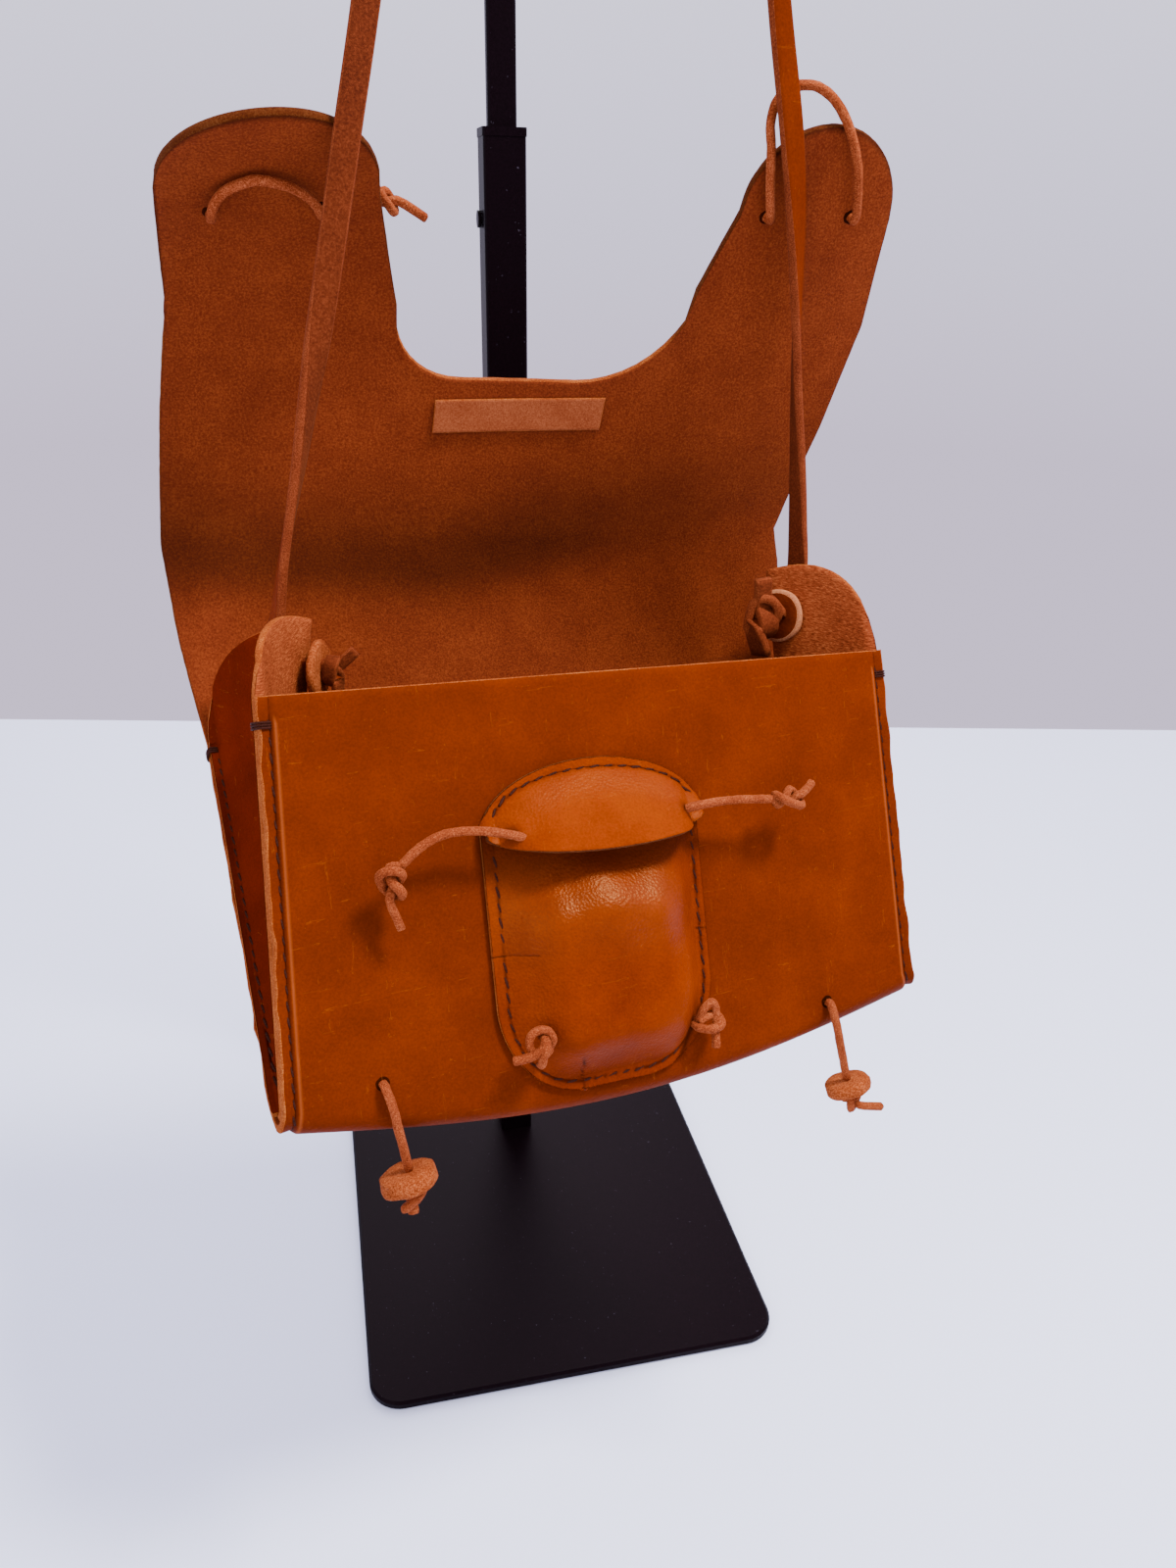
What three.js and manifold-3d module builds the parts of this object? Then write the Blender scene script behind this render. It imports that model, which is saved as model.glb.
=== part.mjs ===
// A hand-sewn leather crossbody bag that hangs open, by its strap, from a black counter stand.
// Millimetres, +Z up. The origin is on the table, under the middle of the stand's base plate.
// +X is to the viewer's right and +Y runs away from the bag's front.
// The bag is built in its own frame: its origin is the middle of the front panel's top edge,
// x runs across, y runs into the bag and z runs up the front panel.
import * as THREE from "three";
import { mergeVertices } from "three/addons/utils/BufferGeometryUtils.js";
import Module from "manifold-3d";

const wasm = await Module();
wasm.setup();

const gap = 0.3; // between pieces that touch
const wall = { shell: 2.8, gusset: 2.4, strap: 3, pocket: 2, label: 1.2, washer: 2.8 };
const cordDiameter = 3.1;

const bagPose = { x: -3, y: -144, z: 372, yaw: 9.7, tilt: -23.8, roll: 3 };

// The shell is one sheet, followed along its middle from the front's top edge, down the front,
// round the bottom bend and up the back to the hinge, where the flap begins.
const front = { dropLeft: 126.5, dropRight: 120, sag: 15.5, skew: -1.5, creaseTop: 108.5, creaseBottom: 112 };
const bend = { radiusSide: 7, radiusMiddle: 6.5 };
const hinge = { yLeft: 98, yRight: 87, z: -11.5, halfWidth: 122 };
// Past the crease the margin dips into the stitched groove, then stands out as a flange.
const margin = { grooveWidth: 1.7, grooveDepth: 1.3, flange: 3.9 };
const flangeLift = { front: 22, bottom: 14, hinge: 0 }; // degrees, away from the bag's inside
const seamTopFront = 7; // below the front's top edge

// Direction of the flap at a distance from the hinge, in degrees from +y, at each side edge,
// and how far the flap sways sideways.
const flapRoll = [
  { at: 0, left: 84, right: 97, swayLeft: 0, swayRight: 0 },
  { at: 40, left: 98, right: 114, swayLeft: -6, swayRight: -9 },
  { at: 75, left: 109, right: 126, swayLeft: -9, swayRight: -13 },
  { at: 120, left: 122, right: 131, swayLeft: -6, swayRight: -5 },
  { at: 160, left: 138, right: 131, swayLeft: -2, swayRight: -1 },
  { at: 205, left: 167, right: 133, swayLeft: -5, swayRight: -5 },
  { at: 260, left: 180, right: 138, swayLeft: -8, swayRight: -9 },
];
// The flap's cut edge: a flat bottom to the U, a round corner, a slope and a round ear.
const flapCut = {
  bottom: 135,
  left: { flatHalf: 21, cornerRadius: 26, earInner: 55, earTop: 237 },
  right: { flatHalf: 20, cornerRadius: 35, earInner: 65, earTop: 226 },
};

// Gussets: levels from the bottom (0) to the seam's top (1); the fold runs inward from the crease.
const gussetFold = [
  { level: 0, inset: 4.5 },
  { level: 0.45, inset: 12 },
  { level: 1, inset: 21 },
];
const foldTop = { left: { x: 88, y: 40, z: 27 }, right: { x: 92, y: 40, z: 37 } };
const lobePower = 2.6;
const lobeLean = { left: 5, right: 15 }; // of the back lobe, toward the front
// The strap's holes: height on each gusset, place across its front half, turn of the slot.
const strapHole = { left: 10, right: 18, across: 0.9, turn: 90 };
const washer = { radius: 10.5, standOff: 0.8 };
const strapKnot = {
  left: {
    length: 12,
    width: 14,
    height: 16,
    tails: [
      { x: 6, y: 2, z: 7, length: 11, lean: 50 },
      { x: 1, y: -3, z: -9, length: 11, lean: -12 },
    ],
  },
  right: {
    length: 19,
    width: 15,
    height: 14,
    tails: [
      { x: -2.5, y: 0, z: 8.5, length: 13, lean: 14 },
      { x: -2, y: -3, z: -8.5, length: 12, lean: -16 },
    ],
  },
};

const strapWidth = 8;
// Middle of the strap in the row's frame, with the turn of its grain face about its run.
const strapLegs = {
  left: [
    { x: -110, y: -117.5, z: 380, turn: 28 },
    { x: -107.8, y: -117, z: 389, turn: 16 },
    { x: -105.2, y: -117.3, z: 403, turn: 6 },
    { x: -101.7, y: -117.5, z: 418, turn: -2 },
    { x: -96.7, y: -117.5, z: 438, turn: -16 },
    { x: -91.6, y: -117.4, z: 460, turn: -36 },
    { x: -87, y: -117.4, z: 479, turn: -72 },
    { x: -82.5, y: -117.4, z: 498, turn: -88 },
    { x: -75.1, y: -117.5, z: 531, turn: -90 },
    { x: -67.8, y: -117.6, z: 563, turn: -84 },
    { x: -52, y: -118, z: 640, turn: -62 },
    { x: -37, y: -118.3, z: 710, turn: -38 },
    { x: -22, y: -118.7, z: 785, turn: -14 },
  ],
  right: [
    { x: 92.6, y: -78.6, z: 380, turn: -52 },
    { x: 92.4, y: -79.3, z: 388, turn: -42 },
    { x: 90.6, y: -80.5, z: 402, turn: -26 },
    { x: 86.7, y: -83.4, z: 428, turn: -8 },
    { x: 82.8, y: -86, z: 452, turn: 10 },
    { x: 79.2, y: -89.2, z: 475, turn: 22 },
    { x: 75.5, y: -92.8, z: 498, turn: 44 },
    { x: 71.6, y: -96.4, z: 518, turn: 66 },
    { x: 67.2, y: -99.4, z: 537, turn: 82 },
    { x: 58.8, y: -102.2, z: 571, turn: 70 },
    { x: 45.4, y: -105.2, z: 640, turn: 46 },
    { x: 32, y: -108.6, z: 710, turn: 24 },
    { x: 17, y: -114, z: 785, turn: 8 },
  ],
};

const pocket = {
  middle: -10,
  halfWidth: 39,
  mouth: -50,
  bottom: -138.5,
  cornerRadius: 32,
  bottomHalf: 11,
  margin: 5,
  rise: { left: 17, right: 10, bottom: 15 },
  height: 14.5,
  mouthHeight: 9,
};
const lid = { middle: -9, halfWidth: 39.5, level: -50, archHeight: 21.5, skirt: 7.6, clearance: 1.8 };

const stand = {
  baseWidth: 203,
  baseDepth: 254,
  baseThickness: 5,
  baseCorner: 16,
  baseBevel: 1.2,
  postX: -2.8,
  postY: 55,
  lowerSize: 18.4,
  lowerWall: 2,
  lowerTop: 543.6,
  collarSize: 19,
  collarHeight: 3.4,
  upperWidth: 12.4,
  upperDepth: 7,
  upperBottom: 420,
  upperTop: 850,
  screwHeight: 508.7,
  screwRadius: 3.5,
  screwLength: 1.6,
  hookHeight: 858,
  hookRadius: 5,
  hookY: -119,
  hookEndY: -144,
  hookTip: 22,
};

const rad = THREE.MathUtils.degToRad;
const sides = { left: -1, right: 1 };

function colour(hex, roughness, metalness = 0) {
  return new THREE.MeshStandardMaterial({ color: hex, roughness, metalness });
}
const finish = {
  grain: colour(0xa8480c, 0.5),
  lid: colour(0xbb560f, 0.48),
  flesh: colour(0x8f4a25, 0.9),
  gusset: colour(0x83300f, 0.6),
  lace: colour(0xb8693f, 0.75),
  disc: colour(0xc07a52, 0.9),
  label: colour(0xb06a45, 0.7),
  coated: colour(0x231b22, 0.5, 0.2),
};

const bag = new THREE.Group();
bag.position.set(bagPose.x, bagPose.y, bagPose.z);
bag.rotation.set(rad(bagPose.tilt), rad(bagPose.roll), rad(bagPose.yaw), "ZYX");
bag.updateMatrixWorld(true);
const root = new THREE.Group();
root.add(bag);

function place(group, name, geometry, material) {
  const mesh = new THREE.Mesh(geometry, material);
  mesh.name = name;
  group.add(mesh);
  return mesh;
}

// Linear reading of a table's column at a place between its rows.
function read(table, key, at, column) {
  let i = 1;
  while (i < table.length - 1 && table[i][key] < at) i += 1;
  const a = table[i - 1];
  const b = table[i];
  const t = THREE.MathUtils.clamp((at - a[key]) / (b[key] - a[key]), 0, 1);
  return a[column] + t * (b[column] - a[column]);
}

function toSolid(geometry) {
  const bare = geometry.index ? geometry.toNonIndexed() : geometry.clone();
  const clean = new THREE.BufferGeometry();
  clean.setAttribute("position", bare.getAttribute("position"));
  const merged = mergeVertices(clean, 1e-3);
  const vertProperties = new Float32Array(merged.attributes.position.array);
  const triVerts = new Uint32Array(merged.index.array);
  return new wasm.Manifold(new wasm.Mesh({ numProp: 3, vertProperties, triVerts }));
}

function toGeometry(solid) {
  const mesh = solid.getMesh();
  const geometry = new THREE.BufferGeometry();
  geometry.setAttribute("position", new THREE.Float32BufferAttribute(mesh.vertProperties, 3));
  geometry.setIndex(new THREE.Uint32BufferAttribute(mesh.triVerts, 1));
  return geometry;
}

function join(...geometries) {
  let solid = toSolid(geometries[0]);
  for (const geometry of geometries.slice(1)) solid = solid.add(toSolid(geometry));
  return toGeometry(solid);
}

function cut(geometry, tool) {
  return toGeometry(toSolid(geometry).subtract(toSolid(tool)));
}

// A closed wall round a grid of middle points; grid[i][j] are Vector3, i across and j along.
function wallSolid(grid, thickness) {
  const across = grid.length;
  const along = grid[0].length;
  const positions = [];
  const corner = (i, j, k) => (k * across + i) * along + j;
  const clampI = (i) => THREE.MathUtils.clamp(i, 0, across - 1);
  const clampJ = (j) => THREE.MathUtils.clamp(j, 0, along - 1);
  for (const side of [0.5, -0.5]) {
    for (let i = 0; i < across; i += 1) {
      for (let j = 0; j < along; j += 1) {
        const stepI = grid[clampI(i + 1)][j].clone().sub(grid[clampI(i - 1)][j]);
        const stepJ = grid[i][clampJ(j + 1)].clone().sub(grid[i][clampJ(j - 1)]);
        const normal = stepI.cross(stepJ).normalize();
        const point = grid[i][j].clone().addScaledVector(normal, side * thickness);
        positions.push(point.x, point.y, point.z);
      }
    }
  }
  const faces = [];
  const quad = (a, b, c, d) => faces.push(a, b, c, a, c, d);
  for (let i = 0; i < across - 1; i += 1) {
    for (let j = 0; j < along - 1; j += 1) {
      quad(corner(i, j, 0), corner(i + 1, j, 0), corner(i + 1, j + 1, 0), corner(i, j + 1, 0));
      quad(corner(i, j, 1), corner(i, j + 1, 1), corner(i + 1, j + 1, 1), corner(i + 1, j, 1));
    }
  }
  for (let i = 0; i < across - 1; i += 1) {
    quad(corner(i, 0, 0), corner(i, 0, 1), corner(i + 1, 0, 1), corner(i + 1, 0, 0));
    const j = along - 1;
    quad(corner(i, j, 0), corner(i + 1, j, 0), corner(i + 1, j, 1), corner(i, j, 1));
  }
  for (let j = 0; j < along - 1; j += 1) {
    quad(corner(0, j, 0), corner(0, j + 1, 0), corner(0, j + 1, 1), corner(0, j, 1));
    const i = across - 1;
    quad(corner(i, j, 0), corner(i, j, 1), corner(i, j + 1, 1), corner(i, j + 1, 0));
  }
  const geometry = new THREE.BufferGeometry();
  geometry.setAttribute("position", new THREE.Float32BufferAttribute(positions, 3));
  geometry.setIndex(faces);
  return geometry;
}

// A round cord through points, as an eight-sided tube with closed ends.
function cord(points, diameter = cordDiameter, steps = 12) {
  const section = new THREE.Shape();
  const sectionSides = 8;
  const radius = diameter / 2;
  section.moveTo(radius, 0);
  for (let i = 1; i < sectionSides; i += 1) {
    const angle = (i / sectionSides) * 2 * Math.PI;
    section.lineTo(radius * Math.cos(angle), radius * Math.sin(angle));
  }
  const path = new THREE.CatmullRomCurve3(points.map((p) => new THREE.Vector3(...p)), false, "centripetal");
  return new THREE.ExtrudeGeometry(section, { steps, bevelEnabled: false, extrudePath: path });
}

function ball(center, radii) {
  const geometry = new THREE.SphereGeometry(1, 10, 7);
  geometry.scale(radii[0], radii[1], radii[2]);
  geometry.translate(center[0], center[1], center[2]);
  return geometry;
}

// ---- shell ----

const grooveRun = Math.hypot(margin.grooveWidth, margin.grooveDepth);
const marginRun = grooveRun + margin.flange;
const mix = THREE.MathUtils.lerp;

function sideShare(u) {
  return Math.cos((u * Math.PI) / 2);
}

// Bottom bend and back panel at u, the share of the half width from -1 (left) to 1 (right).
function backRun(u) {
  const drop = mix(front.dropLeft, front.dropRight, (u + 1) / 2) + front.sag * sideShare(u);
  const radius = mix(bend.radiusSide, bend.radiusMiddle, sideShare(u));
  const hingeY = mix(hinge.yLeft, hinge.yRight, (u + 1) / 2);
  const dy = hingeY - radius;
  const dz = hinge.z + drop;
  const distance = Math.hypot(dy, dz);
  const lean = Math.acos(radius / distance) - Math.atan2(dz, dy);
  const back = Math.sqrt(distance * distance - radius * radius);
  return { drop, radius, lean, turn: Math.PI - lean, back, hingeY };
}

// A point of the sheet's middle in the y-z plane, with the direction into the bag.
// Parts "front", "bend" and "back" take t from 0 to 1, "flap" takes millimetres past the hinge.
function profile(u, part, t) {
  const run = backRun(u);
  if (part === "front") return { y: 0, z: -run.drop * t, inY: 1, inZ: 0 };
  if (part === "bend") {
    const turn = run.turn * t;
    const y = run.radius * (1 - Math.cos(turn));
    const z = -run.drop - run.radius * Math.sin(turn);
    return { y, z, inY: Math.cos(turn), inZ: Math.sin(turn) };
  }
  const sin = Math.sin(run.lean);
  const cos = Math.cos(run.lean);
  if (part === "back") {
    const along = run.back * (1 - t);
    const bow = 3 * Math.sin(Math.PI * t) * sideShare(u);
    const y = run.hingeY - along * sin + bow * cos;
    return { y, z: hinge.z - along * cos - bow * sin, inY: -cos, inZ: sin };
  }
  const share = flapShare(u);
  const step = 5;
  let y = run.hingeY;
  let z = hinge.z;
  let turn = rad(mix(flapRoll[0].left, flapRoll[0].right, share));
  for (let s = 0; s < t; s += step) {
    const length = Math.min(step, t - s);
    const at = s + length / 2;
    turn = rad(mix(read(flapRoll, "at", at, "left"), read(flapRoll, "at", at, "right"), share));
    y += length * Math.cos(turn);
    z += length * Math.sin(turn);
  }
  return { y, z, inY: -Math.sin(turn), inZ: Math.cos(turn) };
}

function flapShare(u) {
  return THREE.MathUtils.smoothstep(u, -1, 1);
}

// Where the side margin folds and how far its flange lifts.
function creaseAt(part, t) {
  const last = hinge.halfWidth - marginRun; // the crease keeps this place up the back
  if (part === "front") {
    return { x: mix(front.creaseTop, front.creaseBottom, t), lift: flangeLift.front, groove: 1 };
  }
  if (part === "bend") {
    const lift = mix(flangeLift.front, flangeLift.bottom, t);
    return { x: mix(front.creaseBottom, last, t), lift, groove: 1 };
  }
  const share = part === "back" ? t : 1;
  const lift = mix(flangeLift.bottom, flangeLift.hinge, share);
  return { x: last, lift, groove: 1 - share ** 2 };
}

// A point of the sheet at the flat distance q from its middle line, moved inward by depth.
function shellPoint(q, part, t, depth = 0) {
  const u = THREE.MathUtils.clamp(q / hinge.halfWidth, -1, 1);
  const p = profile(u, part, t);
  const crease = creaseAt(part, t);
  const past = Math.max(0, Math.abs(q) - crease.x);
  const onFlange = Math.max(0, past - grooveRun);
  const onGroove = (past - onFlange) / grooveRun;
  const lift = rad(crease.lift);
  const tilt = past >= grooveRun ? lift : 0;
  const dip = onGroove * margin.grooveDepth * crease.groove;
  const reach = mix(grooveRun, margin.grooveWidth, crease.groove) * onGroove;
  const out = Math.abs(q) - past + reach + onFlange * Math.cos(lift) + depth * Math.sin(tilt);
  const inward = dip - onFlange * Math.sin(lift) + depth * Math.cos(tilt);
  const swayLeft = read(flapRoll, "at", t, "swayLeft");
  const swayRight = read(flapRoll, "at", t, "swayRight");
  const skew = { front: t, bend: 1 - t, back: 0 }[part] * front.skew;
  const sway = part === "flap" ? mix(swayLeft, swayRight, flapShare(u)) : skew;
  return new THREE.Vector3(Math.sign(q) * out + sway, p.y + inward * p.inY, p.z + inward * p.inZ);
}

function earRound(side) {
  const radius = (hinge.halfWidth - flapCut[side].earInner) / 2;
  return { radius, middle: hinge.halfWidth - radius };
}

// How far the flap reaches past the hinge at the distance q from its middle line.
function flapEnd(q) {
  const side = q < 0 ? "left" : "right";
  const { flatHalf, cornerRadius, earInner, earTop } = flapCut[side];
  const { radius, middle } = earRound(side);
  const reach = Math.abs(q);
  const corner = reach - flatHalf;
  const slopeStart = flapCut.bottom + cornerRadius;
  if (corner < 0) return flapCut.bottom;
  if (corner < cornerRadius) return slopeStart - Math.sqrt(cornerRadius ** 2 - corner ** 2);
  const earLevel = earTop - radius;
  const slope = (corner - cornerRadius) / (earInner - flatHalf - cornerRadius);
  if (reach < earInner) return mix(slopeStart, earLevel, slope);
  return earLevel + Math.sqrt(Math.max(0, radius ** 2 - (reach - middle) ** 2));
}

// Columns of the shell, as flat distances from the middle line of the flap.
function flapColumns() {
  const halfColumns = (side) => {
    const { flatHalf, cornerRadius } = flapCut[side];
    const { radius, middle } = earRound(side);
    const corner = [24, 46, 67, 90].map((turn) => flatHalf + cornerRadius * Math.sin(rad(turn)));
    const across = (turn) => middle - radius * Math.cos(rad(turn));
    return [11, flatHalf, ...corner, ...[0, 24, 48, 72, 96, 120, 142, 162, 180].map(across)];
  };
  return [...halfColumns("left").reverse().map((q) => -q), 0, ...halfColumns("right")];
}

// The two columns nearest each edge become the flange's edge and its stitched groove.
function sheetDistance(columns, i, part, t) {
  const q = columns[i];
  const fromEdge = Math.min(i, columns.length - 1 - i);
  const crease = creaseAt(part, t);
  const creaseColumn = Math.abs(columns[q < 0 ? 2 : columns.length - 3]);
  let closed = q * (crease.x / creaseColumn);
  if (fromEdge === 1) closed = Math.sign(q) * (crease.x + grooveRun);
  if (fromEdge === 0) closed = Math.sign(q) * (crease.x + marginRun);
  const open = part === "flap" ? 1 : part === "back" ? t ** 2 : 0;
  return mix(closed, q, open);
}

function shellGrid() {
  const columns = flapColumns();
  const stations = [["front", 0], ["front", 0.5]];
  for (const t of [0, 0.2, 0.4, 0.6, 0.8]) stations.push(["bend", t]);
  for (const t of [0, 0.3, 0.65, 0.93]) stations.push(["back", t]);
  for (const t of [0, 15, 30, 46, 62, 78, 94, 110]) stations.push(["flap", t]);
  const upperRows = 8;
  return columns.map((q, i) => {
    const line = stations.map(([part, t]) => shellPoint(sheetDistance(columns, i, part, t), part, t));
    for (let k = 1; k <= upperRows; k += 1) {
      line.push(shellPoint(q, "flap", mix(110, flapEnd(q), k / upperRows)));
    }
    return line;
  });
}

// ---- gussets ----

// The seam lines the gusset follows at one level: flange edges and the roots at the stitches.
function gussetRails(sign, level) {
  const stack = wall.shell / 2 + gap + wall.gusset / 2;
  const frontTop = seamTopFront / backRun(sign).drop;
  const railPoint = (part, t, share) => {
    const q = creaseAt(part, t).x + grooveRun + 0.01 + share * (margin.flange - 0.6);
    return shellPoint(sign * q, part, t, stack);
  };
  const inBend = 0.09; // share of the gusset's height that lies along the bottom bend
  const place = (onFront, share) => {
    if (level < inBend) {
      const t = onFront ? mix(0.3, 0, level / inBend) : mix(0.8, 1, level / inBend);
      return railPoint("bend", t, share);
    }
    const up = (level - inBend) / (1 - inBend);
    if (onFront) return railPoint("front", mix(1, frontTop, up), share);
    return railPoint("back", up * 0.98, share);
  };
  return {
    frontEdge: place(true, 1),
    frontRoot: place(true, 0),
    backRoot: place(false, 0),
    backEdge: place(false, 1),
  };
}

const foldRound = 0.11; // share of each half that the rounding of the fold takes

// Section of the gusset at one level: flange, front half, rounded fold, back half, flange.
function gussetSection(rails, fold) {
  const a = rails.frontRoot;
  const b = rails.backRoot;
  const foldFront = fold.clone().lerp(a, foldRound);
  const foldBack = fold.clone().lerp(b, foldRound);
  const points = [rails.frontEdge, a];
  for (const t of [0.12, 0.35, 0.68]) points.push(a.clone().lerp(foldFront, t));
  const round = new THREE.QuadraticBezierCurve3(foldFront, fold, foldBack);
  for (const t of [0, 0.33, 0.67, 1]) points.push(round.getPoint(t));
  for (const t of [0.32, 0.65, 0.88]) points.push(foldBack.clone().lerp(b, t));
  points.push(b, rails.backEdge);
  return points;
}

// Sections from the bottom to the seam's top, then the two rounded lobes above it.
function gussetSections(side) {
  const sign = sides[side];
  const sections = [];
  let fold;
  for (const level of [0, 0.09, 0.22, 0.45, 0.7, 0.9, 1]) {
    const rails = gussetRails(sign, level);
    fold = rails.frontRoot.clone().lerp(rails.backRoot, 0.45);
    fold.x -= sign * read(gussetFold, "level", level, "inset");
    sections.push(gussetSection(rails, fold));
  }
  const seam = sections[sections.length - 1];
  const top = foldTop[side];
  const foldPeak = new THREE.Vector3(sign * top.x, top.y, top.z);
  const peakRise = foldPeak.clone().sub(fold);
  const lengths = [0];
  for (let i = 1; i < seam.length; i += 1) lengths.push(lengths[i - 1] + seam[i].distanceTo(seam[i - 1]));
  const whole = lengths[lengths.length - 1];
  const foldAt = lengths[6];
  for (const row of [0.25, 0.5, 0.75, 1]) {
    sections.push(
      seam.map((point, i) => {
        const onFront = lengths[i] < foldAt;
        const share = onFront ? lengths[i] / foldAt : (whole - lengths[i]) / (whole - foldAt);
        const inFrom = Math.min(share * 1.12, 1);
        const height = Math.max(0.05, (1 - (1 - inFrom) ** lobePower) ** (1 / lobePower));
        const lean = onFront ? 1 : -lobeLean[side];
        const rise = new THREE.Vector3(0, lean, foldPeak.z - point.z).lerp(peakRise, share ** 2);
        return point.clone().addScaledVector(rise, height * row);
      }),
    );
  }
  return sections;
}

function gussetGrid(side) {
  const sections = gussetSections(side);
  const grid = sections[0].map((point, i) => sections.map((section) => section[i]));
  return side === "left" ? grid : grid.reverse();
}

// The strap's hole on the gusset's front half: its middle and the direction into the bag.
function holeFrame(side) {
  const sections = gussetSections(side);
  const column = sections.map((section) => section[4].clone().lerp(section[5], strapHole.across));
  let j = 1;
  while (column[j].z < strapHole[side]) j += 1;
  const t = (strapHole[side] - column[j - 1].z) / (column[j].z - column[j - 1].z);
  const centre = column[j - 1].clone().lerp(column[j], t);
  const up = column[j].clone().sub(column[j - 1]);
  const across = sections[j][5].clone().sub(sections[j][3]);
  const into = across.cross(up).normalize();
  if (into.x * sides[side] > 0) into.negate();
  return { centre, into };
}

function disc(centre, axis, radius, thickness, segments = 20) {
  const geometry = new THREE.CylinderGeometry(radius, radius, thickness, segments);
  const turn = new THREE.Quaternion();
  turn.setFromUnitVectors(new THREE.Vector3(0, 1, 0), axis.clone().normalize());
  return geometry.applyQuaternion(turn).translate(centre.x, centre.y, centre.z);
}

function strapWasher(side) {
  const { centre, into } = holeFrame(side);
  const middle = centre.addScaledVector(into, wall.gusset / 2 + washer.standOff + wall.washer / 2);
  return disc(middle, into, washer.radius, wall.washer);
}

// ---- strap ----

// The strap's points with the turn of its face about its own run at each.
function strapPoints() {
  const end = (side) => {
    const { centre, into } = holeFrame(side);
    const turn = side === "left" ? strapHole.turn : -strapHole.turn;
    const inside = wall.gusset / 2 + washer.standOff + wall.washer + strapKnot[side].length / 2;
    return [inside, 3, -6].map((away) => {
      const at = bag.localToWorld(centre.clone().addScaledVector(into, away));
      return { at, turn };
    });
  };
  const leg = (side) => strapLegs[side].map((p) => ({ at: new THREE.Vector3(p.x, p.y, p.z), turn: p.turn }));
  const over = stand.hookRadius + gap + wall.strap / 2;
  const points = [...end("left"), ...leg("left")];
  for (const angle of [172, 145, 118, 90, 62, 35, 8]) {
    const x = stand.postX + over * Math.cos(rad(angle));
    const z = stand.hookHeight + over * Math.sin(rad(angle));
    points.push({ at: new THREE.Vector3(x, stand.hookY, z), turn: 0 });
  }
  points.push(...leg("right").reverse(), ...end("right").reverse());
  return points;
}

// A band along the strap's run between two of its points, its flat faces turned as told.
function strapBand(from, to, grow, perSpan) {
  const points = strapPoints();
  const path = new THREE.CatmullRomCurve3(points.map((p) => p.at), false, "centripetal");
  const spans = points.length - 1;
  const sections = [];
  for (let i = from * perSpan; i <= (to < 0 ? spans + 1 + to : to) * perSpan; i += 1) {
    const span = Math.min(Math.floor(i / perSpan), spans - 1);
    const share = i / perSpan - span;
    const point = path.getPoint(i / perSpan / spans);
    const along = path.getTangent(i / perSpan / spans);
    const turn = mix(points[span].turn, points[span + 1].turn, share);
    const flat = new THREE.Vector3(-along.z, 0, along.x);
    flat.addScaledVector(along, -flat.dot(along)).normalize();
    flat.applyAxisAngle(along, rad(turn));
    const across = along.clone().cross(flat).multiplyScalar(strapWidth / 2 + grow);
    flat.multiplyScalar(wall.strap / 2 + grow);
    sections.push([
      point.clone().add(flat).add(across),
      point.clone().add(flat).sub(across),
      point.clone().sub(flat).sub(across),
      point.clone().sub(flat).add(across),
    ]);
  }
  return bandSolid(sections);
}

function bandSolid(sections) {
  const positions = sections.flat().flatMap((p) => [p.x, p.y, p.z]);
  const faces = [];
  const quad = (a, b, c, d) => faces.push(a, b, c, a, c, d);
  const end = 4 * (sections.length - 1);
  for (let i = 0; i < end; i += 4) {
    for (let k = 0; k < 4; k += 1) {
      const next = (k + 1) % 4;
      quad(i + k, i + 4 + k, i + 4 + next, i + next);
    }
  }
  quad(0, 1, 2, 3);
  quad(end, end + 3, end + 2, end + 1);
  const geometry = new THREE.BufferGeometry();
  geometry.setAttribute("position", new THREE.Float32BufferAttribute(positions, 3));
  geometry.setIndex(faces);
  return geometry;
}

// The room round the strap where it goes through the gusset and the washer.
function slotTool(side) {
  const last = strapPoints().length - 1;
  const [from, to] = side === "left" ? [0, 2] : [last - 2, last];
  const tool = strapBand(from, to, gap + 0.3, 2);
  return tool.applyMatrix4(bag.matrixWorld.clone().invert());
}

// The knot at each end of the strap, with its two short tails, in the row's frame.
function strapKnotBodies(side) {
  const knot = strapKnot[side];
  const { centre, into } = holeFrame(side);
  const away = wall.gusset / 2 + washer.standOff + wall.washer + gap + knot.length / 2;
  const at = bag.localToWorld(centre.addScaledVector(into, away));
  const lump = new THREE.SphereGeometry(1, 10, 7).scale(knot.length / 2, knot.width / 2, knot.height / 2);
  const direction = into.transformDirection(bag.matrixWorld);
  lump.rotateZ(Math.atan2(direction.y, direction.x)).translate(at.x, at.y, at.z);
  const tails = knot.tails.map((tail) => {
    const strip = new THREE.BoxGeometry(strapWidth * 0.75, wall.strap, tail.length).rotateY(rad(tail.lean));
    return strip.translate(at.x + tail.x, at.y + tail.y, at.z + tail.z);
  });
  return [lump, ...tails];
}

// ---- coin pocket ----

function pouchHalfWidth(z) {
  const fromBottom = z - pocket.bottom;
  if (fromBottom > pocket.cornerRadius) return pocket.halfWidth;
  const rise = pocket.cornerRadius - fromBottom;
  const round = Math.sqrt(Math.max(0, pocket.cornerRadius ** 2 - rise ** 2)) / pocket.cornerRadius;
  return pocket.bottomHalf + (pocket.halfWidth - pocket.bottomHalf) * round;
}

function swell(distance, rise) {
  const t = THREE.MathUtils.clamp((distance - pocket.margin) / rise, 0, 1);
  return 1 - (1 - t) ** 2.2;
}

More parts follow.
